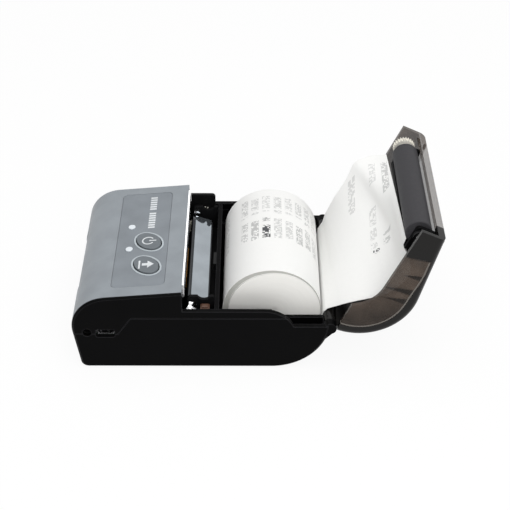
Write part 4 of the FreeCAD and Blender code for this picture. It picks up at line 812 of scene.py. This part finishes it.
def web_angle(near, middle, far, share):
    """Angle across the paper: a smooth run through the two edges and the middle."""
    return (near * (1 - share) * (1 - 2 * share) + middle * 4 * share * (1 - share)
            + far * share * (2 * share - 1))


def web_drift(radius):
    """How far the slack paper has strayed sideways, most half way along."""
    share = min(max((radius - DRIFT_START) / DRIFT_RUN, 0.0), 1.0)
    return WEB_DRIFT * math.sin(math.pi * share) ** DRIFT_POWER


def paper_web(printed):
    """Free run of paper from the hinge up to the platen, slack and a little twisted."""
    columns = []
    for j in range(WEB_COLUMNS + 1):
        share = j / WEB_COLUMNS
        y = across_paper(j)
        points = []
        for r, near, middle, far in WEB_SHAPE:
            angle = web_angle(near, middle, far, share)
            points.append(polar(HINGE_X, HINGE_Z, r, angle, y - web_drift(r)))
        columns.append(curve_through(points, WEB_ROWS))
    rows = [[column[i] for column in columns] for i in range(WEB_ROWS + 1)]
    made, length = thin_sheet("paper_web_sheet", rows, SHEET_T, printed)
    slope = Vector(BLEND_SLOPE) / MM
    start = Vector((HINGE_X, 0, HINGE_Z)) * MM
    start += slope * ((BLEND_START - slope.dot(start)) / slope.length_squared)
    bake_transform(made)
    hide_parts("paper_web")


def paper_tail(plain):
    """Paper leaving the roll's underside, up the bay's rear wall and over the hinge barrel."""
    points = [polar(ROLL_X, BAY_Z, BAY_R - TAIL_LIFT, a) for a in TAIL_BAY_ANGLES]
    points.append(Vector((TAIL_BEND_X, 0, TAIL_BEND_Z)))
    points += [polar(HINGE_X, HINGE_Z, TAIL_BARREL_R, a) for a in TAIL_BARREL_ANGLES]
    rows = []
    for p in curve_through(points, TAIL_ROWS):
        rows.append([Vector((p.x, across_paper(j), p.z)) for j in range(WEB_COLUMNS + 1)])
    made, length = thin_sheet("paper_tail_sheet", rows, SHEET_T, plain)
    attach(made, "base")
    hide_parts("paper_tail")


# Spring clip at the near end of the print head

CLIP_T, CLIP_STEPS = 0.25, 36
# Places across the printer and above its base, then the strip's front and rear edges there
CLIP_SHAPE = ((-31.96, 25.5, -5.0, -2.0), (-31.96, 28.2, -4.8, -2.4), (-32.3, 28.9, -4.8, -2.8),
              (-32.8, 28.5, -4.9, -3.4), (-33.3, 27.6, -5.2, -3.9), (-33.9, 27.2, -5.7, -3.0),
              (-34.8, 27.3, -6.0, -1.8), (-35.4, 27.7, -5.9, -2.2))


def head_end_clip(steel):
    """Bent strip of spring steel, seated on the outer face of the print frame."""
    front_edge = [Vector((front, y, z)) for y, z, front, _ in CLIP_SHAPE]
    rear_edge = [Vector((rear, y, z)) for y, z, _, rear in CLIP_SHAPE]
    rows = [curve_through(edge, CLIP_STEPS) for edge in (front_edge, rear_edge)]
    made, _ = thin_sheet("head_end_clip", rows, CLIP_T, steel)
    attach(made, "base")


# Marks on the keys and deck: places along the deck from its rear edge, then across it

PRINT_T = 0.05
RING_QUADS = 40
# Ring's radius, width and ends
POWER_RING = (2.3, 0.55, 35, 325)
# Ends along the deck, then ends across it
POWER_STROKE = (0.4, 3.3, -0.3, 0.3)
FEED_SHAFT = (-1.6, 0.6, -0.75, 0.75)
FEED_LINE = (-3.0, -2.3, -2.6, 2.6)
FEED_HEAD = [(0.6, -2.3), (3.2, 0.0), (0.6, 2.3)]
POWER_SHIFT, FEED_SHIFT = 0.2, 0.1
# Row of deck bars, with one place left empty
BAR_PLACES, BAR_EMPTY = 14, 6
BARS_X, BAR_FIRST_Y, BAR_STEP = -14.6, 29.3, 1.66
BAR_HALF_LENGTH, BAR_HALF_WIDTH = 1.4, 0.52


def on_deck(x, y, z):
    """A place on the sloping deck: x along it from its rear edge, y across, z above its face."""
    tilt = math.radians(DECK_SLOPE)
    return Vector((DECK_REAR_X + x * math.cos(tilt) - z * math.sin(tilt), y,
                   DECK_REAR_Z + x * math.sin(tilt) + z * math.cos(tilt)))


def printed_shape(outlines, centre, z):
    """Flat convex outlines, printed on the deck as thin raised ink."""
    verts, faces = [], []
    for outline in outlines:
        start = len(verts)
        count = len(outline)
        verts += [on_deck(centre[0] + x, centre[1] + y, z + PRINT_T) for x, y in outline]
        verts += [on_deck(centre[0] + x, centre[1] + y, z) for x, y in outline]
        faces.append([start + k for k in range(count)])
        faces.append([start + count + k for k in reversed(range(count))])
        for k in range(count):
            n = (k + 1) % count
            faces.append([start + n, start + k, start + count + k, start + count + n])
    return verts, faces


def arc_strip(radius, width, first, last):
    """An open ring as a row of small quads."""
    inner, outer = radius - width / 2, radius + width / 2
    quads = []
    for k in range(RING_QUADS):
        a, b = (math.radians(first + (last - first) * s / RING_QUADS) for s in (k, k + 1))
        corners = ((inner, a), (outer, a), (outer, b), (inner, b))
        quads.append([(r * math.cos(turn), r * math.sin(turn)) for r, turn in corners])
    return quads


def bar(x0, x1, y0, y1):
    return [(x0, y0), (x1, y0), (x1, y1), (x0, y1)]


def add_mark(name, outlines, centre, z, body, ink):
    verts, faces = printed_shape(outlines, centre, z)
    made = make_object(name, verts, faces, ink, smooth=False)
    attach(made, body)


def deck_marks():
    """Plain symbols on the keys and a row of plain bars where the deck carries print."""
    ink = moulded("pale_ink", (0.72, 0.75, 0.77), 0.5, grain_mm=0.2, edge_mm=0.02).material
    power = arc_strip(*POWER_RING) + [bar(*POWER_STROKE)]
    power_at = (-BUTTON_BACK - POWER_SHIFT, POWER_Y)
    add_mark("power_symbol", power, power_at, BUTTON_TOP, "power_button", ink)
    feed = [FEED_HEAD, bar(*FEED_SHAFT), bar(*FEED_LINE)]
    feed_at = (-BUTTON_BACK - FEED_SHIFT, FEED_Y)
    add_mark("feed_symbol", feed, feed_at, BUTTON_TOP, "feed_button", ink)
    bars = []
    for k in range(BAR_PLACES):
        if k != BAR_EMPTY:
            y = BAR_FIRST_Y - BAR_STEP * k
            bars.append(bar(-BAR_HALF_LENGTH, BAR_HALF_LENGTH,
                            y - BAR_HALF_WIDTH, y + BAR_HALF_WIDTH))
    add_mark("deck_bars", bars, (BARS_X, 0.0), KEYPAD_TOP, "base", ink)


# Floor, light and background

FLOOR_HALF, FLOOR_Z = 4000.0, -0.2
FLOOR_COLOUR = (0.97, 0.97, 0.97)
# Share of the floor's white that is plain background, without shadow
FLOOR_GLOW = 0.92
WORLD_STRENGTH = 0.53
# Name, place, aim and size in metres, then watts
LAMPS = (("overhead", (0.06, -0.05, 0.7), (0.03, 0.0, 0.02), (0.6, 0.6), 1.85),
         ("front_fill", (0.25, -0.7, 0.6), (0.0, 0.0, 0.03), (0.6, 0.5), 3.15))


def seen_directly(tree):
    """1 for what the camera sees straight, in a mirror or through glass."""
    path = tree.nodes.new("ShaderNodeLightPath")
    share = path.outputs["Is Camera Ray"]
    for name in ("Is Glossy Ray", "Is Transmission Ray"):
        node = tree.nodes.new("ShaderNodeMath")
        node.operation = "MAXIMUM"
        tree.links.new(share, node.inputs[0])
        tree.links.new(path.outputs[name], node.inputs[1])
        share = node.outputs[0]
    return share


def floor_material():
    material = bpy.data.materials.new("pale_floor")
    material.use_nodes = True
    tree = material.node_tree
    tree.nodes.clear()
    diffuse = tree.nodes.new("ShaderNodeBsdfDiffuse")
    diffuse.inputs["Color"].default_value = (*FLOOR_COLOUR, 1)
    glow = tree.nodes.new("ShaderNodeEmission")
    glow.inputs["Strength"].default_value = 1.0
    mix = tree.nodes.new("ShaderNodeMixShader")
    share = tree.nodes.new("ShaderNodeMath")
    share.operation = "MULTIPLY"
    share.inputs[1].default_value = FLOOR_GLOW
    tree.links.new(seen_directly(tree), share.inputs[0])
    tree.links.new(share.outputs[0], mix.inputs["Fac"])
    tree.links.new(diffuse.outputs[0], mix.inputs[1])
    tree.links.new(glow.outputs[0], mix.inputs[2])
    out = tree.nodes.new("ShaderNodeOutputMaterial")
    tree.links.new(mix.outputs[0], out.inputs["Surface"])
    return material


def lay_floor():
    corners = [(-FLOOR_HALF, -FLOOR_HALF, FLOOR_Z), (FLOOR_HALF, -FLOOR_HALF, FLOOR_Z),
               (FLOOR_HALF, FLOOR_HALF, FLOOR_Z), (-FLOOR_HALF, FLOOR_HALF, FLOOR_Z)]
    make_object("floor", corners, [[0, 1, 2, 3]], floor_material(), smooth=False)


def world_light():
    """White to the eye, dimmer as a source of light."""
    world = bpy.data.worlds.new("studio")
    world.use_nodes = True
    tree = world.node_tree
    background = tree.nodes["Background"]
    background.inputs["Color"].default_value = (1, 1, 1, 1)
    level = tree.nodes.new("ShaderNodeMapRange")
    level.inputs["To Min"].default_value = WORLD_STRENGTH
    level.inputs["To Max"].default_value = 1.0
    tree.links.new(seen_directly(tree), level.inputs["Value"])
    tree.links.new(level.outputs["Result"], background.inputs["Strength"])
    bpy.context.scene.world = world


def soft_box(name, place, aim, size, watts):
    data = bpy.data.lights.new(name, "AREA")
    data.shape = "RECTANGLE"
    data.size, data.size_y = size
    data.energy = watts
    lamp = bpy.data.objects.new(name, data)
    bpy.context.scene.collection.objects.link(lamp)
    lamp.location = place
    lamp.rotation_euler = (Vector(aim) - Vector(place)).to_track_quat("-Z", "Y").to_euler()


def light_studio():
    bpy.context.scene.view_settings.view_transform = "Standard"
    world_light()
    lay_floor()
    for lamp in LAMPS:
        soft_box(*lamp)


aim_camera()
materials = finishes()
dress_nodes(materials)
roll_print = PrintedPaper("printed_roll", ROLL_PRINT_HEIGHT, roll_words())
web_print = PrintedPaper("printed_web", WEB_PRINT_HEIGHT, WEB_WORDS)
# The shaded slack's ends are painted shade: paper edges coloured darker for the shade deep in the
# crescent gap
paper_roll(roll_print.material, roll_edge("paper_edges", (0.9, 0.89, 0.855)),
           roll_edge("shaded_edges", (0.5, 0.5, 0.47)))
paper_web(web_print.material)
paper_tail(materials["paper"])
head_end_clip(materials["steel"])
deck_marks()
light_studio()
